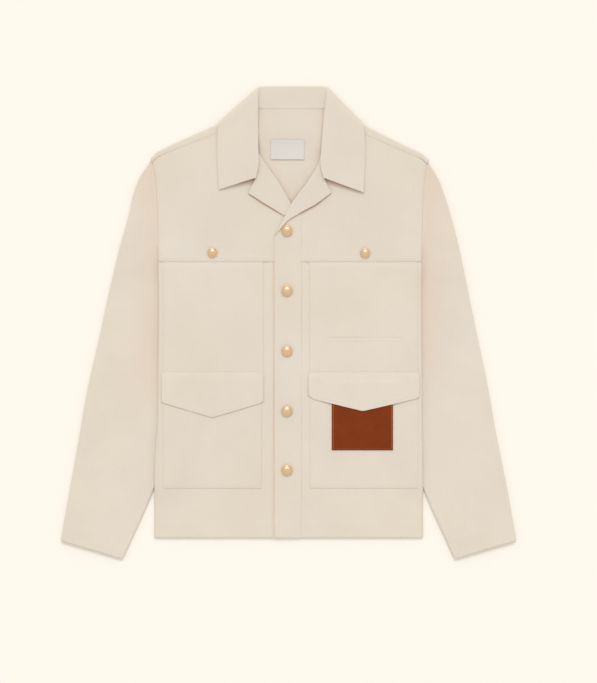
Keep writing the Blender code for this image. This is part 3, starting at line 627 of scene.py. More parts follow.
sleeveCreases = {
    "left": ((238, 232, 262, 160, 12, -0.8), (252, 226, 274, 140, 9, 0.6), (232, 150, 262, 108, 10, -0.7),
             (226, 112, 280, 92, 11, 0.6), (234, 70, 292, 60, 9, -0.6), (250, 28, 300, -6, 12, 0.6),
             (236, 4, 290, -46, 10, -0.7), (240, -60, 306, -78, 12, 0.5), (250, -110, 322, -118, 11, -0.6),
             (244, -150, 316, -176, 14, 0.6), (262, -206, 338, -214, 12, -0.5),
             (258, -250, 326, -276, 13, 0.5), (290, -282, 352, -300, 12, -0.45),
             (292, -330, 300, -372, 9, 0.4), (338, -318, 350, -352, 10, -0.4)),
    "right": ((-240, 236, -258, 150, 13, 0.7), (-234, 206, -246, 128, 9, -0.7),
              (-262, 176, -276, 116, 9, -0.5), (-228, 124, -276, 84, 12, 0.6),
              (-232, 66, -288, 74, 10, -0.6), (-238, 40, -296, 20, 12, 0.55),
              (-232, -8, -300, -26, 11, -0.7), (-246, -52, -310, -50, 13, 0.55),
              (-238, -92, -316, -112, 10, -0.55),
              (-250, -140, -326, -140, 13, 0.55), (-248, -186, -330, -204, 12, -0.6),
              (-270, -236, -344, -236, 13, 0.5), (-268, -268, -340, -292, 11, -0.45),
              (-300, -316, -306, -366, 10, -0.4), (-340, -316, -356, -350, 10, 0.4))}


def sleevePanel(name, hand, material):
    sign, own = hands[hand], sleeveHand[hand]
    last = len(sleeveLine["outerX"]) - 1
    ends = (0, sleeveForm["headEnd"], last - sleeveForm["cuffLong"], last)
    counts = [sleeveForm[key] for key in ("headRows", "stations", "cuffRows")]
    at = np.unique(np.concatenate([np.linspace(*part) for part in zip(ends[:-1], ends[1:], counts)]))
    start, end = (pointsAt(sleeveLine, line, at) for line in ("outer", "inner"))
    down = np.clip(at / own["headLong"], 0, 1)
    rounded = np.maximum(np.sin(np.pi * down ** sleeveForm["headPeak"]), 0)
    head = own["head"] * rounded ** sleeveForm["headSoft"]
    tip = own["tip"] * near(at, sleeveForm["tipLong"])
    lean = own["lean"] * smoothStep((at - sleeveForm["leanFrom"]) / sleeveForm["leanRamp"])
    slim = own["slim"] * near(at - sleeveForm["slimAt"], sleeveForm["slimLong"])
    start = start + np.column_stack((head + lean - slim + tip, sleeveForm["headUp"] * head + tip))
    end = end + np.column_stack((lean, 0 * lean))
    angles = np.radians(sleeveForm["turn"])
    rings = []
    sections = []
    for station, a, b in zip(at, start, end):
        width = np.linalg.norm(b - a)
        along = (b - a) / width
        fold = sleeveForm["fold"] * (1 - np.cos(angles))
        flat = np.linspace(sleeveForm["fold"], width - sleeveForm["fold"], sleeveForm["columns"])[1:-1]
        offsets = np.concatenate((fold, flat, width - fold[::-1]))
        lift = np.concatenate((np.sin(angles), np.ones(len(flat)), np.sin(angles[::-1])))
        plan = a + offsets[:, None] * along
        seam = max(0.0, 1 - station / sleeveForm["armFade"]) ** 2
        chord = np.interp(plan[:, 1], (b[1], a[1]), (b[0], a[0]))
        atTop = smoothStep((plan[:, 1] - sleeveForm["topY"]) / sleeveForm["topRamp"])
        clear = sleeveForm["gap"] + sleeveForm["topGap"] * atTop
        plan[:, 0] += (edgeX(plan[:, 1]) + clear - chord) * seam
        joined = float(smoothStep(1 - station))
        beside = plan[:, 0] - sideX(plan[:, 1], sign) - sleeveForm["beside"]
        shown = smoothStep(beside / sleeveForm["rise"])
        free = sleeveForm["tucked"] + (sleeveForm["high"] - sleeveForm["tucked"]) * shown
        x, y = plan.T
        top = joined * (baseHeight(x, y) + 2 * cloth["thick"] + cloth["hollow"]) + (1 - joined) * free
        under = joined * baseHeight(x, y)
        crease = creaseLift(sign * x, y, sleeveCreases[hand])
        inside = smoothStep(offsets / sleeveForm["outerEase"])
        inside = inside * smoothStep((width - offsets) / sleeveForm["innerEase"])
        inside = inside * smoothStep(station / sleeveForm["startEase"])
        cuff = (last - station) * sleeveForm["cuffRow"]
        top = top + crease * inside * shown + hemLift(cuff) * lift
        top = top + seamDip(station * sleeveForm["seamRow"], sleeveForm["seamDip"], sleeveForm["seamWide"])
        under = under + sleeveForm["underCrease"] * np.maximum(crease, 0) * inside
        middle, half = (top + under) / 2, (top - under) / 2
        upper = np.column_stack((plan, middle + half * lift))
        lower = np.column_stack((plan, middle - half * lift))[-2:0:-1]
        rings.append(np.concatenate((upper, lower)))
        sections.append((-along[1], along[0], 0.0))
    outer = np.array(rings)
    normals = unit(np.cross(tangentsOf(outer, 1, ring=True), np.array(sections)[:, None]))
    inner = outer - normals * cloth["thick"]
    return clothShell(name, mirrored(outer, sign), mirrored(inner, sign), material, ring=True)


# Camp collar, from the wearer's right front round the back of the neck to the left front
collarForm = {"roll": 1.5, "sub": 7, "pointDrop": 5.0, "pointLift": 1.6, "puff": 0.7, "wave": 1.3,
              "turn": (-90, 90, 15), "stand": (0, 0.85, 8), "fall": (0.86, 0.88, 18, 9)}
collarLine = {
    "rollX": (-56.6, -51.5, -52.4, -52.8, -53.0, -52.6, -52.0, -46.5, -30.0, 4.0),
    "rollY": (238.0, 262.0, 282.0, 310.0, 345.0, 372.0, 386.0, 388.6, 389.0, 389.3),
    "rollZ": (11.4, 10.8, 9.7, 9.0, 8.5, 7.6, 5.0, 2.6, 2.15, 2.15),
    "edgeX": (-117.0, -118.6, -119.4, -119.8, -119.4, -118.8, -116.0, -114.5, -90.0, 4.0),
    "edgeY": (219.0, 242.0, 266.0, 290.0, 310.0, 322.5, 331.2, 325.5, 319.0, 319.0),
    "edgeZ": (6.3, 6.0, 6.0, 7.4, 7.9, 8.1, 4.2, 0.65, 0.65, 0.65),
    "seamX": (-60.6, -57.6, -60.5, -62.5, -67.0, -68.0, -62.0, -50.0, -34.0, 4.0),
    "seamY": (237.0, 261.0, 283.0, 312.0, 332.0, 343.0, 352.7, 352.6, 352.5, 352.5),
    "seamZ": (10.6, 10.3, 8.2, 7.4, 7.9, 7.9, 5.0, 2.8, 2.6, 2.6),
    "turn": (0.0, 0.0, 0.0, 0.0, 0.0, 18.0, 90.0, 165.0, 180.0, 180.0),
    "rollShift": (-1.2, -1.5, -0.9, 0.7, 3.5, 7.2, 8.6, 7.5, 8.0, 8.0),
    "edgeShift": (4.2, 4.0, 4.0, 4.0, 3.4, 2.4, 1.2, 1.2, 8.0, 8.0)}


def collarTable():
    rows = [{key: collarLine[key][i] for key in collarLine} for i in range(len(collarLine["turn"]))]
    for right in rows[-2::-1]:
        left = dict(right)
        left["rollX"] = right["rollShift"] - right["rollX"]
        left["edgeX"] = right["edgeShift"] - right["edgeX"]
        left["seamX"] = right["edgeShift"] - right["seamX"]
        rows.append(left)
    rows[-1]["edgeY"] -= collarForm["pointDrop"]
    rows[-1]["edgeZ"] += collarForm["pointLift"]
    return {key: [row[key] for row in rows] for key in rows[0]}


def collarPanel(name, material):
    table = collarTable()
    last = len(table["turn"]) - 1
    at = np.linspace(0, last, collarForm["sub"] * last + 1)
    roll, edge, seam = (pointsAt(table, line, at, "XYZ") for line in ("roll", "edge", "seam"))
    turn = np.radians(rowAt(table, "turn", at))
    angles = np.radians(np.arange(*collarForm["turn"]))
    stand = np.linspace(*collarForm["stand"])
    fall = finerEnd(*collarForm["fall"])
    grid = []
    for s, r, e, n, angle in zip(at, roll, edge, seam, turn):
        hand = np.sign(s - last / 2)
        d = unit(e - r)
        outward = unit(np.array((-d[1] * hand, d[0] * hand, 0.0))) if hand else np.zeros(3)
        facing = np.array((0.0, 0.0, np.cos(angle))) + outward * np.sin(angle)
        facing = unit(facing - d * np.dot(facing, d))
        centre = r + d * collarForm["roll"]
        under, over = centre - facing * collarForm["roll"], centre + facing * collarForm["roll"]
        line = [n * (1 - t) + under * t for t in stand]
        line += [centre + collarForm["roll"] * (facing * np.sin(a) - d * np.cos(a)) for a in angles]
        front = np.cos(angle) if angle < 0.5 * np.pi else 0.0
        wave = 0.5 + 0.5 * np.sin(s * collarForm["wave"] + hand)
        for t in fall:
            up = sewnEdge(np.linalg.norm(e - r) * (1 - t)) + collarForm["puff"] * wave * np.sin(np.pi * t)
            line.append(over * (1 - t) + e * t + facing * up * front)
        grid.append(line)
    middle = np.array(grid)
    normals = unit(np.cross(tangentsOf(middle, 1), tangentsOf(middle, 0)))
    half = normals * cloth["thick"] / 2
    return clothShell(name, middle + half, middle - half, material, cloth["freeEdge"])


# Button band over both fronts, its top edge along the left lapel's roll line
def bandPanel(name, level, material):
    edge = rollEdge("left", 1.0)[::-1]
    topX = [band["x0"], *edge[:, 0]]
    topY = [edge[0, 1] - band["cornerDrop"], *edge[:, 1]]
    x = sewnSpread(band["x0"], band["x1"], band["cell"])[None, :]
    topLine = np.interp(x, topX, topY)
    low = sewnSpread(body["hemY"], body["yokeY"], band["rowCell"])[:, None]
    upper = body["yokeY"] + (topLine - body["yokeY"]) * np.linspace(0, 1, band["upper"])[1:, None]
    y = np.concatenate((low + 0 * topLine, upper))
    under = 2 * cloth["thick"] + cloth["hollow"] + level * (0.5 + 0.5 * rimShare(band["x1"] - x))
    under = under + hemLift(y - body["hemY"])
    sewnDown = pressedTo(band["flat"], band["x1"] - x, band["flatWide"])
    thick = cloth["thick"] * sewnDown + sewnEdge(x - band["x0"])
    offX = x - buttonForm["frontX"]
    drawn = sum(np.exp(-(offX ** 2 + (y - at) ** 2) / band["drawnWide"]) for at in buttonForm["frontY"])
    wave = band["wave"] * np.sin(y / band["waveLong"]) * bulge(x, band["x0"], band["x1"])
    z = under + thick - band["drawn"] * drawn + wave  # the cloth is drawn in under each button
    return clothShell(name, gridOf(x, y, z), gridOf(x, y, under), material)


# Neck label, folded over at its top
labelBox = {"x0": -31.8, "x1": 23.6, "y0": 269.0, "y1": 301.3, "foldDeep": 4.2, "fold": 0.35, "foldRamp": 0.8,
            "wave": 0.2, "waveAt": -4.0, "waveLong": 30.0, "endDown": 0.25, "endWide": 1.5, "lip": 0.5,
            "lipWide": 6.0}


def labelPanel(name, material):
    x = spread(labelBox["x0"], labelBox["x1"], 1.4)[None, :]
    y = spread(labelBox["y0"], labelBox["y1"], 0.9)[:, None]
    z = backLift(x, y) + cloth["thick"] + cloth["gap"] + cloth["trim"]
    ends = np.minimum(x - labelBox["x0"], labelBox["x1"] - x)
    top = labelBox["y1"] - y
    z = z + labelBox["fold"] * (1 - smoothStep((top - labelBox["foldDeep"]) / labelBox["foldRamp"]))
    z = z + labelBox["wave"] * np.sin(np.pi * (x - labelBox["waveAt"]) / labelBox["waveLong"]) ** 2
    z = z - labelBox["endDown"] * np.exp(-ends / labelBox["endWide"])
    z = z + labelBox["lip"] * np.exp(-(y - labelBox["y0"]) / labelBox["lipWide"])
    return levelShell(name, gridOf(x, y, z), cloth["trim"], material)


# Domed shank buttons, turned about their own axes
buttonForm = {"frontRadius": 9.0, "frontHigh": 5.6, "frontX": -5.0,
              "frontY": (151.1, 52.1, -46.9, -145.9, -243.2),
              "yokeRadius": 7.9, "yokeHigh": 5.0, "yokeSeat": 0.4, "sides": 56,
              "yokeAt": {"left": (123.8, 114.3), "right": (-127.9, 115.2)}}
buttonProfile = ((0.0, 0.0), (0.58, 0.0), (0.62, 0.02), (0.64, 0.16), (0.68, 0.21), (0.93, 0.23),
                 (0.985, 0.26),
                 (1.0, 0.32), (0.995, 0.38), (0.965, 0.44), (0.92, 0.465), (0.875, 0.445), (0.845, 0.49),
                 (0.8, 0.60), (0.73, 0.70), (0.64, 0.79), (0.53, 0.87), (0.41, 0.93), (0.28, 0.97),
                 (0.14, 0.993), (0.0, 1.0))


def buttonSolid(name, radius, high, at, material):
    profile = np.array(buttonProfile) * np.array((radius, high))
    sides = buttonForm["sides"]
    angles = np.linspace(0, 2 * np.pi, sides, endpoint=False)
    rings = profile[1:-1]
    points = [(at[0] + r * np.cos(a), at[1] + r * np.sin(a), at[2] + h) for r, h in rings for a in angles]
    points += [(at[0], at[1], at[2]), (at[0], at[1], at[2] + high)]
    bottom, crown = len(points) - 2, len(points) - 1
    faces = []
    for k in range(sides):
        after = (k + 1) % sides
        for ring in range(len(rings) - 1):
            first = ring * sides
            faces.append((first + k, first + after, first + sides + after, first + sides + k))
        final = (len(rings) - 1) * sides
        faces += [(final + k, final + after, crown), (after, k, bottom)]
    return makeMesh(name, points, faces, material)


# Node helpers
def fill(tree, node, inputs):  # each input takes a plain value, or a link from another node's socket
    for key, value in inputs.items():
        if isinstance(value, bpy.types.NodeSocket):
            tree.links.new(value, node.inputs[key])
        else:
            node.inputs[key].default_value = value


def addNode(tree, kind, inputs=None, **settings):
    node = tree.nodes.new(kind)
    for key, value in settings.items():
        setattr(node, key, value)
    fill(tree, node, inputs or {})
    return node


def whereOn(tree):
    return addNode(tree, "ShaderNodeTexCoord").outputs["Object"]


def noise(tree, where, scale, detail, roughness=0.5):
    inputs = {"Vector": where, "Scale": scale, "Detail": detail, "Roughness": roughness}
    return addNode(tree, "ShaderNodeTexNoise", inputs).outputs["Fac"]


def remap(tree, value, low, high, fromLow=0.3, fromHigh=0.7):  # most of a noise lies between 0.3 and 0.7
    inputs = {"Value": value, "From Min": fromLow, "From Max": fromHigh, "To Min": low, "To Max": high}
    return addNode(tree, "ShaderNodeMapRange", inputs).outputs["Result"]


def multiply(tree, amount, colour, by):
    inputs = {0: amount, 6: colour, 7: by}
    return addNode(tree, "ShaderNodeMix", inputs, data_type="RGBA", blend_type="MULTIPLY")


def newMaterial(name):
    material = bpy.data.materials.new(name)
    material.use_nodes = True
    tree = material.node_tree
    return material, tree, tree.nodes["Principled BSDF"]


def raised(tree, height, strength, distance):
    inputs = {"Height": height, "Strength": strength, "Distance": distance}
    return addNode(tree, "ShaderNodeBump", inputs).outputs["Normal"]


# Twill: diagonal ribs, slubs along the yarn and a slow drift of shade at random, with painted shade and
# painted shadow laid on from an attribute
finish = {
    "cotton": (0.732, 0.664, 0.570, 1.0), "thread": (0.76, 0.69, 0.585, 1.0),
    "label": (0.695, 0.665, 0.631, 1.0), "floor": (0.93, 0.885, 0.82, 1.0),
    "leather": (0.207, 0.0375, 0.0060, 1.0), "leatherDark": (0.170, 0.029, 0.0045, 1.0),
    "leatherThread": (0.50, 0.235, 0.11, 1.0), "brass": (0.80, 0.57, 0.345, 1.0),
    # the last two are painted shade and painted shadow colours, laid over the cloth where shade falls
    "paintedShade": (0.99, 0.925, 0.885, 1.0), "deep": (0.80, 0.54, 0.405, 1.0)}
twill = {"turn": 1.05, "bend": 1.6, "slub": (900.0, 130.0, 500.0), "yarn": 0.5, "dull": 0.9, "full": 1.12}


def twillGroup():
    tree = bpy.data.node_groups.new("twillWeave", "ShaderNodeTree")
    for label in ("Color", "Ribs", "Drift", "ShadeAmount"):
        kind = "NodeSocketColor" if label == "Color" else "NodeSocketFloat"
        tree.interface.new_socket(label, in_out="INPUT", socket_type=kind)
    for label, kind in (("Color", "NodeSocketColor"), ("Height", "NodeSocketFloat")):
        tree.interface.new_socket(label, in_out="OUTPUT", socket_type=kind)
    start = tree.nodes.new("NodeGroupInput").outputs
    where = whereOn(tree)
    turn = addNode(tree, "ShaderNodeMapping", {"Vector": where, "Rotation": (0.0, 0.0, twill["turn"])})
    ribs = addNode(tree, "ShaderNodeTexWave", {
        "Vector": turn.outputs["Vector"], "Scale": start["Ribs"],
        "Distortion": twill["bend"], "Detail": 2.0, "Detail Scale": 2.0})
    long = addNode(tree, "ShaderNodeMapping", {"Vector": where, "Scale": twill["slub"]})
    slub = noise(tree, long.outputs["Vector"], scale=1.0, detail=2.0)
    shade = remap(tree, noise(tree, where, scale=9.0, detail=3.0, roughness=0.55), low=-1.0, high=1.0)
    yarn = remap(tree, slub, -twill["yarn"], twill["yarn"])
    total = addNode(tree, "ShaderNodeMath", {0: shade, 1: yarn}, operation="ADD")
    amount = addNode(tree, "ShaderNodeMath", {0: total.outputs["Value"], 1: start["Drift"], 2: 1.0},
                     operation="MULTIPLY_ADD")
    tint = addNode(tree, "ShaderNodeHueSaturation", {
        "Color": start["Color"], "Value": amount.outputs["Value"],
        "Saturation": remap(tree, noise(tree, where, scale=5.0, detail=1.0), twill["full"], twill["dull"])})
    # Painted shade: the colour is darkened by the shade amount, and where that passes 1 it is darkened
    # further to a deep painted shadow
    paintedShade = multiply(tree, start["ShadeAmount"], tint.outputs["Color"], finish["paintedShade"])
    shadowAmount = addNode(tree, "ShaderNodeMath", {0: start["ShadeAmount"], 1: 1.0}, operation="SUBTRACT", use_clamp=True)
    deep = multiply(tree, shadowAmount.outputs["Value"], paintedShade.outputs[2], finish["deep"])
    height = addNode(tree, "ShaderNodeMath", {0: slub, 1: 0.5, 2: ribs.outputs["Fac"]},
                     operation="MULTIPLY_ADD")
    end = tree.nodes.new("NodeGroupOutput")
    fill(tree, end, {"Color": deep.outputs[2], "Height": height.outputs["Value"]})
    return tree


weave = twillGroup()


weaves = {
    "jacketCotton": {"colour": "cotton", "ribs": 520.0, "drift": 0.022, "bump": 0.35, "sheen": 0.15},
    "jacketThread": {"colour": "thread", "ribs": 1600.0, "drift": 0.03, "bump": 0.3, "sheen": 0.1},
    "labelWeave": {"colour": "label", "ribs": 1300.0, "drift": 0.02, "bump": 0.25, "sheen": 0.0},
    "leatherThread": {"colour": "leatherThread", "ribs": 1600.0, "drift": 0.05, "bump": 0.3, "sheen": 0.0}}


def wovenMaterial(name, colour, ribs, drift, bump, sheen):
    material, tree, shader = newMaterial(name)
    # the painted shade amount stored on each piece's vertices
    paintedShade = addNode(tree, "ShaderNodeAttribute", attribute_name="paintedShade")
    group = addNode(tree, "ShaderNodeGroup", {}, node_tree=weave)
    fill(tree, group, {"Color": finish[colour], "Ribs": ribs, "Drift": drift, "ShadeAmount": paintedShade.outputs["Fac"]})
    normal = raised(tree, group.outputs["Height"], strength=bump, distance=0.0003)
    fill(tree, shader, {
        "Base Color": group.outputs["Color"], "Normal": normal,
        "Roughness": 0.88, "Specular IOR Level": 0.25, "Sheen Weight": sheen, "Sheen Roughness": 0.5})
    return material


def leatherMaterial():
    material, tree, shader = newMaterial("jacketLeather")
    where = whereOn(tree)
    grain = addNode(tree, "ShaderNodeTexVoronoi", {"Vector": where, "Scale": 900.0},
                    feature="DISTANCE_TO_EDGE")
    patchy = noise(tree, where, scale=55.0, detail=4.0, roughness=0.6)
    blend = remap(tree, patchy, low=0.0, high=0.6, fromLow=0.35)
    mix = addNode(tree, "ShaderNodeMix", {0: blend, 6: finish["leather"], 7: finish["leatherDark"]},
                  data_type="RGBA")
    normal = raised(tree, grain.outputs["Distance"], strength=0.25, distance=0.0004)
    fill(tree, shader, {
        "Base Color": mix.outputs[2], "Normal": normal, "Roughness": 0.6, "Specular IOR Level": 0.09})
    return material


def brassMaterial():
    material, tree, shader = newMaterial("jacketBrass")
    wear = noise(tree, whereOn(tree), scale=420.0, detail=3.0)
    value = remap(tree, wear, low=0.92, high=1.05)
    tint = addNode(tree, "ShaderNodeHueSaturation", {"Color": finish["brass"], "Value": value})
    rough = remap(tree, wear, low=0.33, high=0.42)
    fill(tree, shader, {"Base Color": tint.outputs["Color"], "Roughness": rough, "Metallic": 1.0})
    return material


cotton, thread, labelWeave, leatherThread = (wovenMaterial(name, **entry) for name, entry in weaves.items())
leather = leatherMaterial()
brass = brassMaterial()
print("materials ready")


# Panels
level = {"front": cloth["gap"], "leatherSeat": 0.15, "leatherThick": 1.5}
level["patch"] = cloth["gap"] + cloth["trim"] + level["leatherSeat"]
weltBox = {"x0": 62.7, "x1": 189.8, "y0": -31.0, "y1": -25.4, "topGap": 0.4, "cell": 2.0, "rowCell": 0.6,
           "slump": 0.3, "slumpLong": 180.3, "seat": 0.03, "thick": 0.2, "ramp": 2.6}
chestBox = {"left": {"x0": 32.0, "x1": 210.0, "y0": -80.95, "y1": 99.9, "tucked": True,
                     "low": "flap", "slitY": -25.0, "slit0": 60.0, "slit1": 192.0},
            "right": {"x0": -208.6, "x1": -44.0, "y0": -80.95, "y1": 99.9, "tucked": True, "low": "flap"}}
lowerBox = {"left": {"x0": 33.0, "x1": 210.4, "y0": -273.6, "y1": -93.0, "tucked": True},
            "right": {"x0": -208.6, "x1": -46.9, "y0": -273.6, "y1": -93.0, "tucked": True}}


def weltPanel(name, box, material):
    topY = box["y1"] - box["topGap"]
    x = spread(box["x0"], box["x1"], box["cell"])[None, :]
    y = spread(box["y0"], topY, box["rowCell"])[:, None]
    rim = np.minimum(inFrom(x, box["x0"], box["x1"]), inFrom(y, box["y0"], topY))
    patch = chestBox["left"]
    slump = box["slump"] * bulge(x, patch["x0"], patch["x1"])
    slump = slump * np.sin(np.pi * (y - patch["y0"]) / box["slumpLong"])
    under = frontTop(x, y) + level["front"] + cloth["trim"] + box["seat"] + slump
    top = under + box["seat"] + box["thick"] * smoothStep(rim / box["ramp"])
    return clothShell(name, gridOf(x, y, top), gridOf(x, y, under), material)


pieces["back"] = backPanel("backCloth", cotton)
pieces["collar"] = collarPanel("collarCloth", cotton)
pieces["placket"] = bandPanel("bandCloth", level["front"], cotton)
pieces["neck_label"] = labelPanel("labelCloth", labelWeave)
for hand, sign in hands.items():
    title = hand.capitalize()
    pieces["front_" + hand] = frontPanel("frontCloth" + title, sign, cotton)
    pieces["front_yoke_" + hand] = yokePanel("yokeCloth" + title, hand, cotton)
    pieces["sleeve_" + hand] = sleevePanel("sleeveCloth" + title, hand, cotton)
    pieces["lapel_" + hand] = lapelPanel("lapelCloth" + title, hand, cotton)
    pieces["chest_pocket_" + hand] = patchPanel(
        "chestPatch" + title, chestBox[hand], level["front"], cloth["trim"], cotton,
        slump=weltBox["slump"])
    pieces["pocket_" + hand] = patchPanel(
        "pocketCloth" + title, lowerBox[hand], level["front"], cloth["trim"], cotton)
    pieces["flap_" + hand] = flapPanel("flapCloth" + title, hand, cotton)
pieces["leather_patch"] = patchPanel(
    "leatherPatch", leatherBox, level["patch"], level["leatherThick"], leather)
pieces["chest_welt"] = weltPanel("weltCloth", weltBox, cotton)
for hand, (x, y) in buttonForm["yokeAt"].items():
    seat = (x, y, float(yokeHeight(np.array(x), np.array(y))) + buttonForm["yokeSeat"])
    pieces["yoke_button_" + hand] = buttonSolid(
        "yokeButton" + hand.capitalize(), buttonForm["yokeRadius"], buttonForm["yokeHigh"], seat, brass)
bandTop = 3 * cloth["thick"] + cloth["hollow"] + cloth["gap"]
for number, y in enumerate(buttonForm["frontY"], 1):
    seat = (buttonForm["frontX"], y, bandTop + cloth["gap"])
    pieces[f"button_{number}"] = buttonSolid(
        f"frontButton{number}", buttonForm["frontRadius"], buttonForm["frontHigh"], seat, brass)
print("panels built", len(pieces))


# Painted shade: a warm darkening of the cloth's colour where cloth meets cloth in a fold or a seam, and a
# deeper painted shadow under standing collar and lapel edges
shadePaint = {"sleeve": 0.8, "sleeveWide": 38.0, "sleeveFrom": -160, "sleeveRamp": 120, "side": 0.35,
          "sideWide": 6.0, "band": 1.05, "bandLow": 0.6, "bandFrom": 60, "bandRamp": 260, "bandWide": 2.4,
          "neckRight": 0.35, "neckLeft": 0.45, "rightWide": 20.0, "leftWide": 24.0, "neckFrom": 190,
          "neckRamp": 20, "arm": 0.6, "chest": 0.3, "yokeWide": 4.0, "deep": 2.0, "upperFrom": 0.9,
          "upperRamp": 0.3}


# Painted shade on a sleeve beside the body's side, fading towards the cuff
def sleeveShade(x, y):
    off = np.maximum(np.abs(x) - edgeX(y), 0)
    shade = shadePaint["sleeve"] * near(off, shadePaint["sleeveWide"])
    return shade * smoothStep((y - shadePaint["sleeveFrom"]) / shadePaint["sleeveRamp"])


# Painted shade along the body's sides, and a painted shadow beside the band's left edge, stronger towards the
# hem
def frontShade(x, y):
    side = shadePaint["side"] * near(edgeX(y) - np.abs(x), shadePaint["sideWide"])
    low = smoothStep((shadePaint["bandFrom"] - y) / shadePaint["bandRamp"])
    beside = shadePaint["band"] + shadePaint["bandLow"] * low
    return side + beside * near(x - band["x0"], shadePaint["bandWide"])


# Painted shade on the inside of the back beside both edges of the neck opening
def backShade(x, y):
    right, left = neckOff(x, y)
    shade = shadePaint["neckRight"] * near(right, shadePaint["rightWide"])
    shade = shade + shadePaint["neckLeft"] * near(left, shadePaint["leftWide"])
    return shade * smoothStep((y - shadePaint["neckFrom"]) / shadePaint["neckRamp"])


# Painted shadow below the standing lower edges of the collar and lapels
underEdges = (  # a standing edge as points, with the reach of its shade at each
    ((-56.6, 238.0, 5.0), (-80.0, 230.6, 2.6), (-117.0, 219.0, 1.2)),
    ((55.4, 238.0, 4.2), (90.0, 225.4, 3.6), (121.0, 214.0, 1.4)),
    ((-66.5, 211.8, 2.0), (-44.0, 197.3, 3.4), (-11.0, 176.0, 1.6)),
    ((68.3, 213.8, 1.6), (41.3, 194.0, 2.6), (16.5, 180.8, 2.8), (-3.0, 168.5, 2.4), (-18.0, 152.0, 1.4)))


# Deep painted shadow: strongest on each listed edge, fading over its reach
def deepShade(x, y):
    shade = np.zeros(np.shape(x))
    for line in underEdges:
        for (x0, y0, r0), (x1, y1, r1) in zip(line[:-1], line[1:]):
            length = np.hypot(x1 - x0, y1 - y0)
            along = np.clip(((x - x0) * (x1 - x0) + (y - y0) * (y1 - y0)) / length ** 2, 0, 1)
            off = np.hypot(x - x0 - along * (x1 - x0), y - y0 - along * (y1 - y0))
            shade = np.maximum(shade, near(off, r0 + along * (r1 - r0)))
    return shadePaint["deep"] * shade


# Painted shade at the armhole seam and the yoke seam, with the deep painted shadow under collar and lapels
def yokeShade(x, y):
    arm = shadePaint["arm"] * near(edgeX(y) - np.abs(x), shadePaint["yokeWide"])
    return arm + shadePaint["chest"] * near(y - body["yokeY"], shadePaint["yokeWide"]) + deepShade(x, y)


# Writes the painted shade amount into a vertex attribute, which the cloth materials read
def paintShade(piece, rule):
    points = np.empty(len(piece.data.vertices) * 3)
    piece.data.vertices.foreach_get("co", points)
    points = points.reshape(-1, 3) / mm
    layer = piece.data.attributes.new("paintedShade", "FLOAT", "POINT")
    upper = smoothStep((points[:, 2] - shadePaint["upperFrom"]) / shadePaint["upperRamp"])  # plain colour below
    layer.data.foreach_set("value", np.clip(rule(points[:, 0], points[:, 1]), 0, shadePaint["deep"]) * upper)


# the pieces that get painted shade, and the rule for each
shadeRules = {"sleeve_left": sleeveShade, "sleeve_right": sleeveShade, "front_left": frontShade,
             "front_right": frontShade, "back": backShade, "placket": deepShade, "front_yoke_left": yokeShade,
             "front_yoke_right": yokeShade}
for node, rule in shadeRules.items():
    paintShade(pieces[node], rule)


# Stitches: thread laid along polylines, each one dropped on the cloth that it is sewn through
seamForm = {"cell": 1.6, "dropFrom": 0.1, "pocketShort": 1, "flapShort": 1.5, "flapSlant": 1.03,
            "flapPoints": 60, "shoulder": (74.0, 222.0, 50), "shoulderUp": 3.0, "arm": (104.0, 256.0, 50),
            "armIn": 6.0, "collarSpan": (0.22, 5.0, 40), "collarFront": (0.12, 0.9, 12), "hemShort": 2.0,
            "yokeY": 103.4, "yokeStart": {"left": 22.0, "right": -28.0}, "yokeEnd": 214.0, "leatherIn": 2.4,
            "labelIn": 1.6, "labelShort": 1.5}
threadForm = {"Pitch": 0.0034, "Length": 0.0026, "Width": 0.00055, "Height": 0.0003, "Seed": 7}
leatherForm = {**threadForm, "Width": 0.0008}
threadVary = {"low": (0.85, 0.85, 0.86), "high": (1.12, 1.12, 1.08)}


def dropped(piece, path):
    path = np.asarray(path, float)
    steps = np.concatenate(([0.0], np.cumsum(np.linalg.norm(np.diff(path, axis=0), axis=1))))
    at = np.linspace(0, steps[-1], max(2, int(steps[-1] / seamForm["cell"])))
    plan = np.column_stack([np.interp(at, steps, path[:, k]) for k in range(2)])
    corners = [vertex.co for vertex in piece.data.vertices]
    tree = BVHTree.FromPolygons(corners, [face.vertices[:] for face in piece.data.polygons])
    points = []
    for x, y in plan * mm:
        hit = tree.ray_cast((x, y, seamForm["dropFrom"]), (0.0, 0.0, -1.0))[0]
        if hit is not None:
            points.append((x, y, hit.z))
    return points


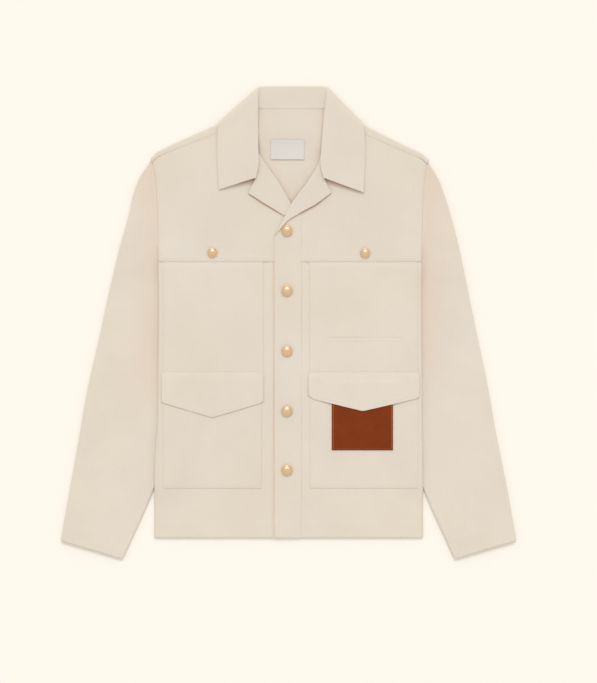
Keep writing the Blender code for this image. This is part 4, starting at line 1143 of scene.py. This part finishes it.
def stitchTree():
    tree = bpy.data.node_groups.new("stitchRun", "GeometryNodeTree")
    kinds = {"Geometry": "Geometry", "Pitch": "Float", "Length": "Float", "Width": "Float", "Height": "Float",
             "Seed": "Int", "Thread": "Material"}
    for label, kind in kinds.items():
        tree.interface.new_socket(label, in_out="INPUT", socket_type="NodeSocket" + kind)
    tree.interface.new_socket("Geometry", in_out="OUTPUT", socket_type="NodeSocketGeometry")
    start = tree.nodes.new("NodeGroupInput").outputs
    line = addNode(tree, "GeometryNodeMeshToCurve", {"Mesh": start["Geometry"]})
    even = addNode(tree, "GeometryNodeResampleCurve", {
        "Curve": line.outputs["Curve"], "Length": start["Pitch"]}, mode="LENGTH")
    ball = addNode(tree, "GeometryNodeMeshUVSphere", {"Segments": 8, "Rings": 5, "Radius": 0.5})
    size = addNode(tree, "ShaderNodeCombineXYZ", {
        "X": start["Width"], "Y": start["Height"], "Z": start["Length"]})
    shape = addNode(tree, "GeometryNodeTransform", {
        "Geometry": ball.outputs["Mesh"], "Scale": size.outputs["Vector"]})
    soft = addNode(tree, "GeometryNodeSetShadeSmooth", {"Geometry": shape.outputs["Geometry"]})
    way = addNode(tree, "GeometryNodeInputTangent")
    aim = addNode(tree, "FunctionNodeAlignRotationToVector", {"Vector": way.outputs["Tangent"]}, axis="Z")
    vary = addNode(tree, "FunctionNodeRandomValue", {
        0: threadVary["low"], 1: threadVary["high"], "Seed": start["Seed"]}, data_type="FLOAT_VECTOR")
    place = addNode(tree, "GeometryNodeInstanceOnPoints", {
        "Points": even.outputs["Curve"], "Instance": soft.outputs["Geometry"],
        "Rotation": aim.outputs["Rotation"], "Scale": vary.outputs[0]})
    real = addNode(tree, "GeometryNodeRealizeInstances", {"Geometry": place.outputs["Instances"]})
    coat = addNode(tree, "GeometryNodeSetMaterial", {
        "Geometry": real.outputs["Geometry"], "Material": start["Thread"]})
    end = tree.nodes.new("NodeGroupOutput")
    fill(tree, end, {"Geometry": coat.outputs["Geometry"]})
    return tree


stitches = stitchTree()


def stitchRun(name, paths, material, form=threadForm):
    points, edges = [], []
    for path in paths:
        first = len(points)
        points += path
        edges += [(k, k + 1) for k in range(first, len(points) - 1)]
    mesh = bpy.data.meshes.new(name)
    mesh.from_pydata(points, edges, [])
    guide = bpy.data.objects.new(name + "Guide", mesh)
    bpy.context.scene.collection.objects.link(guide)
    run = guide.modifiers.new("stitches", "NODES")
    run.node_group = stitches
    for item in stitches.interface.items_tree:
        if item.in_out == "INPUT" and item.name in form:
            run[item.identifier] = form[item.name]
        if item.in_out == "INPUT" and item.name == "Thread":
            run[item.identifier] = material
    bpy.context.view_layer.update()
    evaluated = guide.evaluated_get(bpy.context.evaluated_depsgraph_get())
    baked = bpy.data.meshes.new_from_object(evaluated)
    baked.name = name
    bpy.data.objects.remove(guide, do_unlink=True)
    piece = bpy.data.objects.new(name, baked)
    bpy.context.scene.collection.objects.link(piece)
    return piece


def boxPath(box, inset, openTop=True):
    x0, x1, y0, y1 = box["x0"] + inset, box["x1"] - inset, box["y0"] + inset, box["y1"]
    top = y1 - (seamForm["pocketShort"] if openTop else inset)
    path = ((x0, top), (x0, y0), (x1, y0), (x1, top))
    return path if openTop else (*path, (x0, top))


def flapPath(hand, inset):
    shape = flapBottom[hand]
    x = np.linspace(shape["x"][0] + inset, shape["x"][-1] - inset, seamForm["flapPoints"])
    y = flapLine(hand, x, seamForm["flapSlant"] * inset)
    top = flapTop["y"] - seamForm["flapShort"]
    return [(x[0], top), *zip(x, y), (x[-1], top)]


def insetPath(roll, edge, inset):
    gap = np.linalg.norm(edge - roll, axis=1, keepdims=True)
    return (edge + (roll - edge) / gap * inset)[gap[:, 0] > lapelForm["sewnFrom"]]


def shoulderSeam(sign):
    x = np.linspace(*seamForm["shoulder"])
    return list(zip(sign * x, shoulderSeamY(sign * x) + seamForm["shoulderUp"]))


def armSeam(sign):
    y = np.linspace(*seamForm["arm"])
    return list(zip(sign * (edgeX(y) - seamForm["armIn"]), y))


def yokeSeam(hand, sign):
    y = seamForm["yokeY"]
    return ((seamForm["yokeStart"][hand], y), (sign * seamForm["yokeEnd"], y))


def collarPaths(inset):
    table = collarTable()
    last = len(table["turn"]) - 1
    paths = []
    first, final, count = seamForm["collarSpan"]
    for at in (np.linspace(first, final, count), np.linspace(last - first, last - final, count)):
        roll, edge = (pointsAt(table, line, at) for line in ("roll", "edge"))
        front = [roll[0] * (1 - t) + edge[0] * t for t in np.linspace(*seamForm["collarFront"])]
        paths.append([*front, *insetPath(roll, edge, inset)])
    return paths


seams = []
inset = sewn["inset"]
for hand, sign in hands.items():
    seams += [("chest_pocket_" + hand, boxPath(chestBox[hand], inset))]
    seams += [("pocket_" + hand, boxPath(lowerBox[hand], inset)), ("flap_" + hand, flapPath(hand, inset))]
    seams += [("front_yoke_" + hand, yokeSeam(hand, sign)), ("back", shoulderSeam(sign))]
    seams += [("front_yoke_" + hand, armSeam(sign))]
    roll, edge = lapelSections(hand)[:2]
    seams += [("lapel_" + hand, insetPath(roll, edge, inset))]
for side, x in (("x0", band["x0"] + inset), ("x1", band["x1"] - inset)):
    seams += [("placket", ((x, body["hemY"] + seamForm["hemShort"]), (x, band["stitchTop"][side])))]
seams += [("collar", path) for path in collarPaths(inset)]
slit = {"x0": 60.0, "x1": 192.0, "above": -22.8, "tackX": 181.0, "tackWide": 3.0, "tackCell": 0.7,
        "tackY": (-30.4, -26.0)}
seams += [("chest_pocket_left", ((slit["x0"], slit["above"]), (slit["x1"], slit["above"])))]
for x in np.arange(slit["tackX"], slit["tackX"] + slit["tackWide"], slit["tackCell"]):
    seams += [("chest_welt", [(x, y) for y in slit["tackY"]])]

added = []
added.append(stitchRun("seamStitches", [dropped(pieces[node], path) for node, path in seams], thread))
leatherRuns = [dropped(pieces["leather_patch"], boxPath(leatherBox, seamForm["leatherIn"], openTop=False))]
added.append(stitchRun("leatherStitches", leatherRuns, leatherThread, leatherForm))
labelEnds = (labelBox["y0"] + seamForm["labelShort"], labelBox["y1"] - seamForm["labelShort"])
labelSides = (labelBox["x0"] + seamForm["labelIn"], labelBox["x1"] - seamForm["labelIn"])
labelRuns = [dropped(pieces["neck_label"], [(x, y) for y in labelEnds]) for x in labelSides]
added.append(stitchRun("labelStitches", labelRuns, thread))
print("stitches sewn", [len(piece.data.polygons) for piece in added])


# What each piece is, where it lies, and the size that it was cut to
def halfArea(piece):
    return sum(face.area for face in piece.data.polygons) / 2


cut = {  # width and length of the cloth that shows, in metres, with its true area where it isn't a rectangle
    "back": {"flat": (0.457, 0.722), "area": 0.304, "held": "laid",
             "on": ("floor", "sleeveClothLeft", "sleeveClothRight", "collarCloth")},
    "collar": {"flat": (0.480, 0.108), "area": 0.040, "held": "folded", "on": ("backCloth", "floor")},
    "placket": {"flat": (0.0447, 0.560), "held": "laid", "on": ("frontClothLeft", "frontClothRight")},
    "neck_label": {"flat": (0.0554, 0.0323), "held": "laid", "on": ("backCloth",)},
    "leather_patch": {"flat": (0.1005, 0.1062), "held": "laid", "on": ("pocketClothLeft",)},
    "chest_welt": {"flat": (0.1271, 0.0112), "area": 0.00066, "held": "folded", "on": ("chestPatchLeft",)}}
cutByHand = {
    "front": {"flat": ((0.2095, 0.454), (0.2415, 0.454)), "area": (0.0933, 0.107), "held": "laid",
              "on": "back"},
    "front_yoke": {"flat": ((0.214, 0.235), (0.243, 0.235)), "area": (0.0392, 0.043), "held": "laid",
                   "on": "back"},
    "sleeve": {"flat": ((0.340, 0.662), (0.340, 0.662)), "area": (0.1425, 0.1444), "held": "laid",
               "on": "floor"},
    "lapel": {"flat": ((0.050, 0.165), (0.060, 0.108)), "area": (0.0038, 0.0038), "held": "folded",
              "on": "yoke"},
    "chest_pocket": {"flat": ((0.178, 0.1809), (0.1646, 0.1809)), "held": "laid", "on": "front"},
    "pocket": {"flat": ((0.1774, 0.1806), (0.1617, 0.1806)), "held": "laid", "on": "front"},
    "flap": {"flat": ((0.1825, 0.0655), (0.1673, 0.076)), "area": (0.0101, 0.01075), "held": "laid",
             "on": "pocket"}}
for node, entry in cutByHand.items():
    for number, hand in enumerate(hands):
        sameSide = entry["on"] + "Cloth" + hand.capitalize()
        under = {"back": "backCloth", "floor": "floor"}.get(entry["on"], sameSide)
        own = {"flat": entry["flat"][number], "held": entry["held"], "on": (under,)}
        cut[node + "_" + hand] = own | ({"area": entry["area"][number]} if "area" in entry else {})

for node, piece in pieces.items():
    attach(piece, "root")
    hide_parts(node)
    if node in cut:
        entry = cut[node]
        print(node, "cloth area", round(halfArea(piece), 5))
for piece, name in zip(added, ("cotton", "leather", "woven_label")):
    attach(piece, "root")


# Floor, light and camera
def floorMaterial():
    material, tree, shader = newMaterial("paleFloor")
    value = remap(tree, noise(tree, whereOn(tree), scale=3.0, detail=2.0), low=0.995, high=1.005)
    tint = addNode(tree, "ShaderNodeHueSaturation", {"Color": finish["floor"], "Value": value})
    fill(tree, shader, {"Base Color": tint.outputs["Color"], "Roughness": 0.9, "Specular IOR Level": 0.1})
    return material


floorForm = {"reach": 6000, "lines": 5, "z": -0.05}
floorLines = np.linspace(-floorForm["reach"], floorForm["reach"], floorForm["lines"])
floorPoints = [(x, y, floorForm["z"]) for y in floorLines for x in floorLines]
firsts = [row * len(floorLines) + column for row in range(len(floorLines) - 1)
          for column in range(len(floorLines) - 1)]
floorFaces = [(at, at + 1, at + 1 + len(floorLines), at + len(floorLines)) for at in firsts]
floor = makeMesh("floor", floorPoints, floorFaces, floorMaterial())

light = {"sky": 0.883, "skyColour": (1.0, 0.965, 0.925, 1.0), "key": 0.92, "keyColour": (1.0, 1.03, 1.06),
         "keyAngle": 0.35, "keyTilt": 0.76}
world = bpy.data.worlds.new("studio")
world.use_nodes = True
sky = world.node_tree.nodes["Background"]
fill(world.node_tree, sky, {"Color": light["skyColour"], "Strength": light["sky"]})
bpy.context.scene.world = world
key = bpy.data.lights.new("key", "SUN")
key.energy = light["key"]
key.angle = light["keyAngle"]
key.color = light["keyColour"]
keyLamp = bpy.data.objects.new("key", key)
keyLamp.rotation_euler = (-light["keyTilt"], 0.0, 0.0)
bpy.context.scene.collection.objects.link(keyLamp)

view = {"x": 0.014, "y": -0.0312, "high": 3.5, "cover": 1.127}
camera = bpy.data.cameras.new("camera")
camera.lens = camera.sensor_width * view["high"] / view["cover"]
eye = bpy.data.objects.new("camera", camera)
eye.location = (view["x"], view["y"], view["high"])
bpy.context.scene.collection.objects.link(eye)
bpy.context.scene.camera = eye
bpy.context.scene.view_settings.view_transform = "Standard"
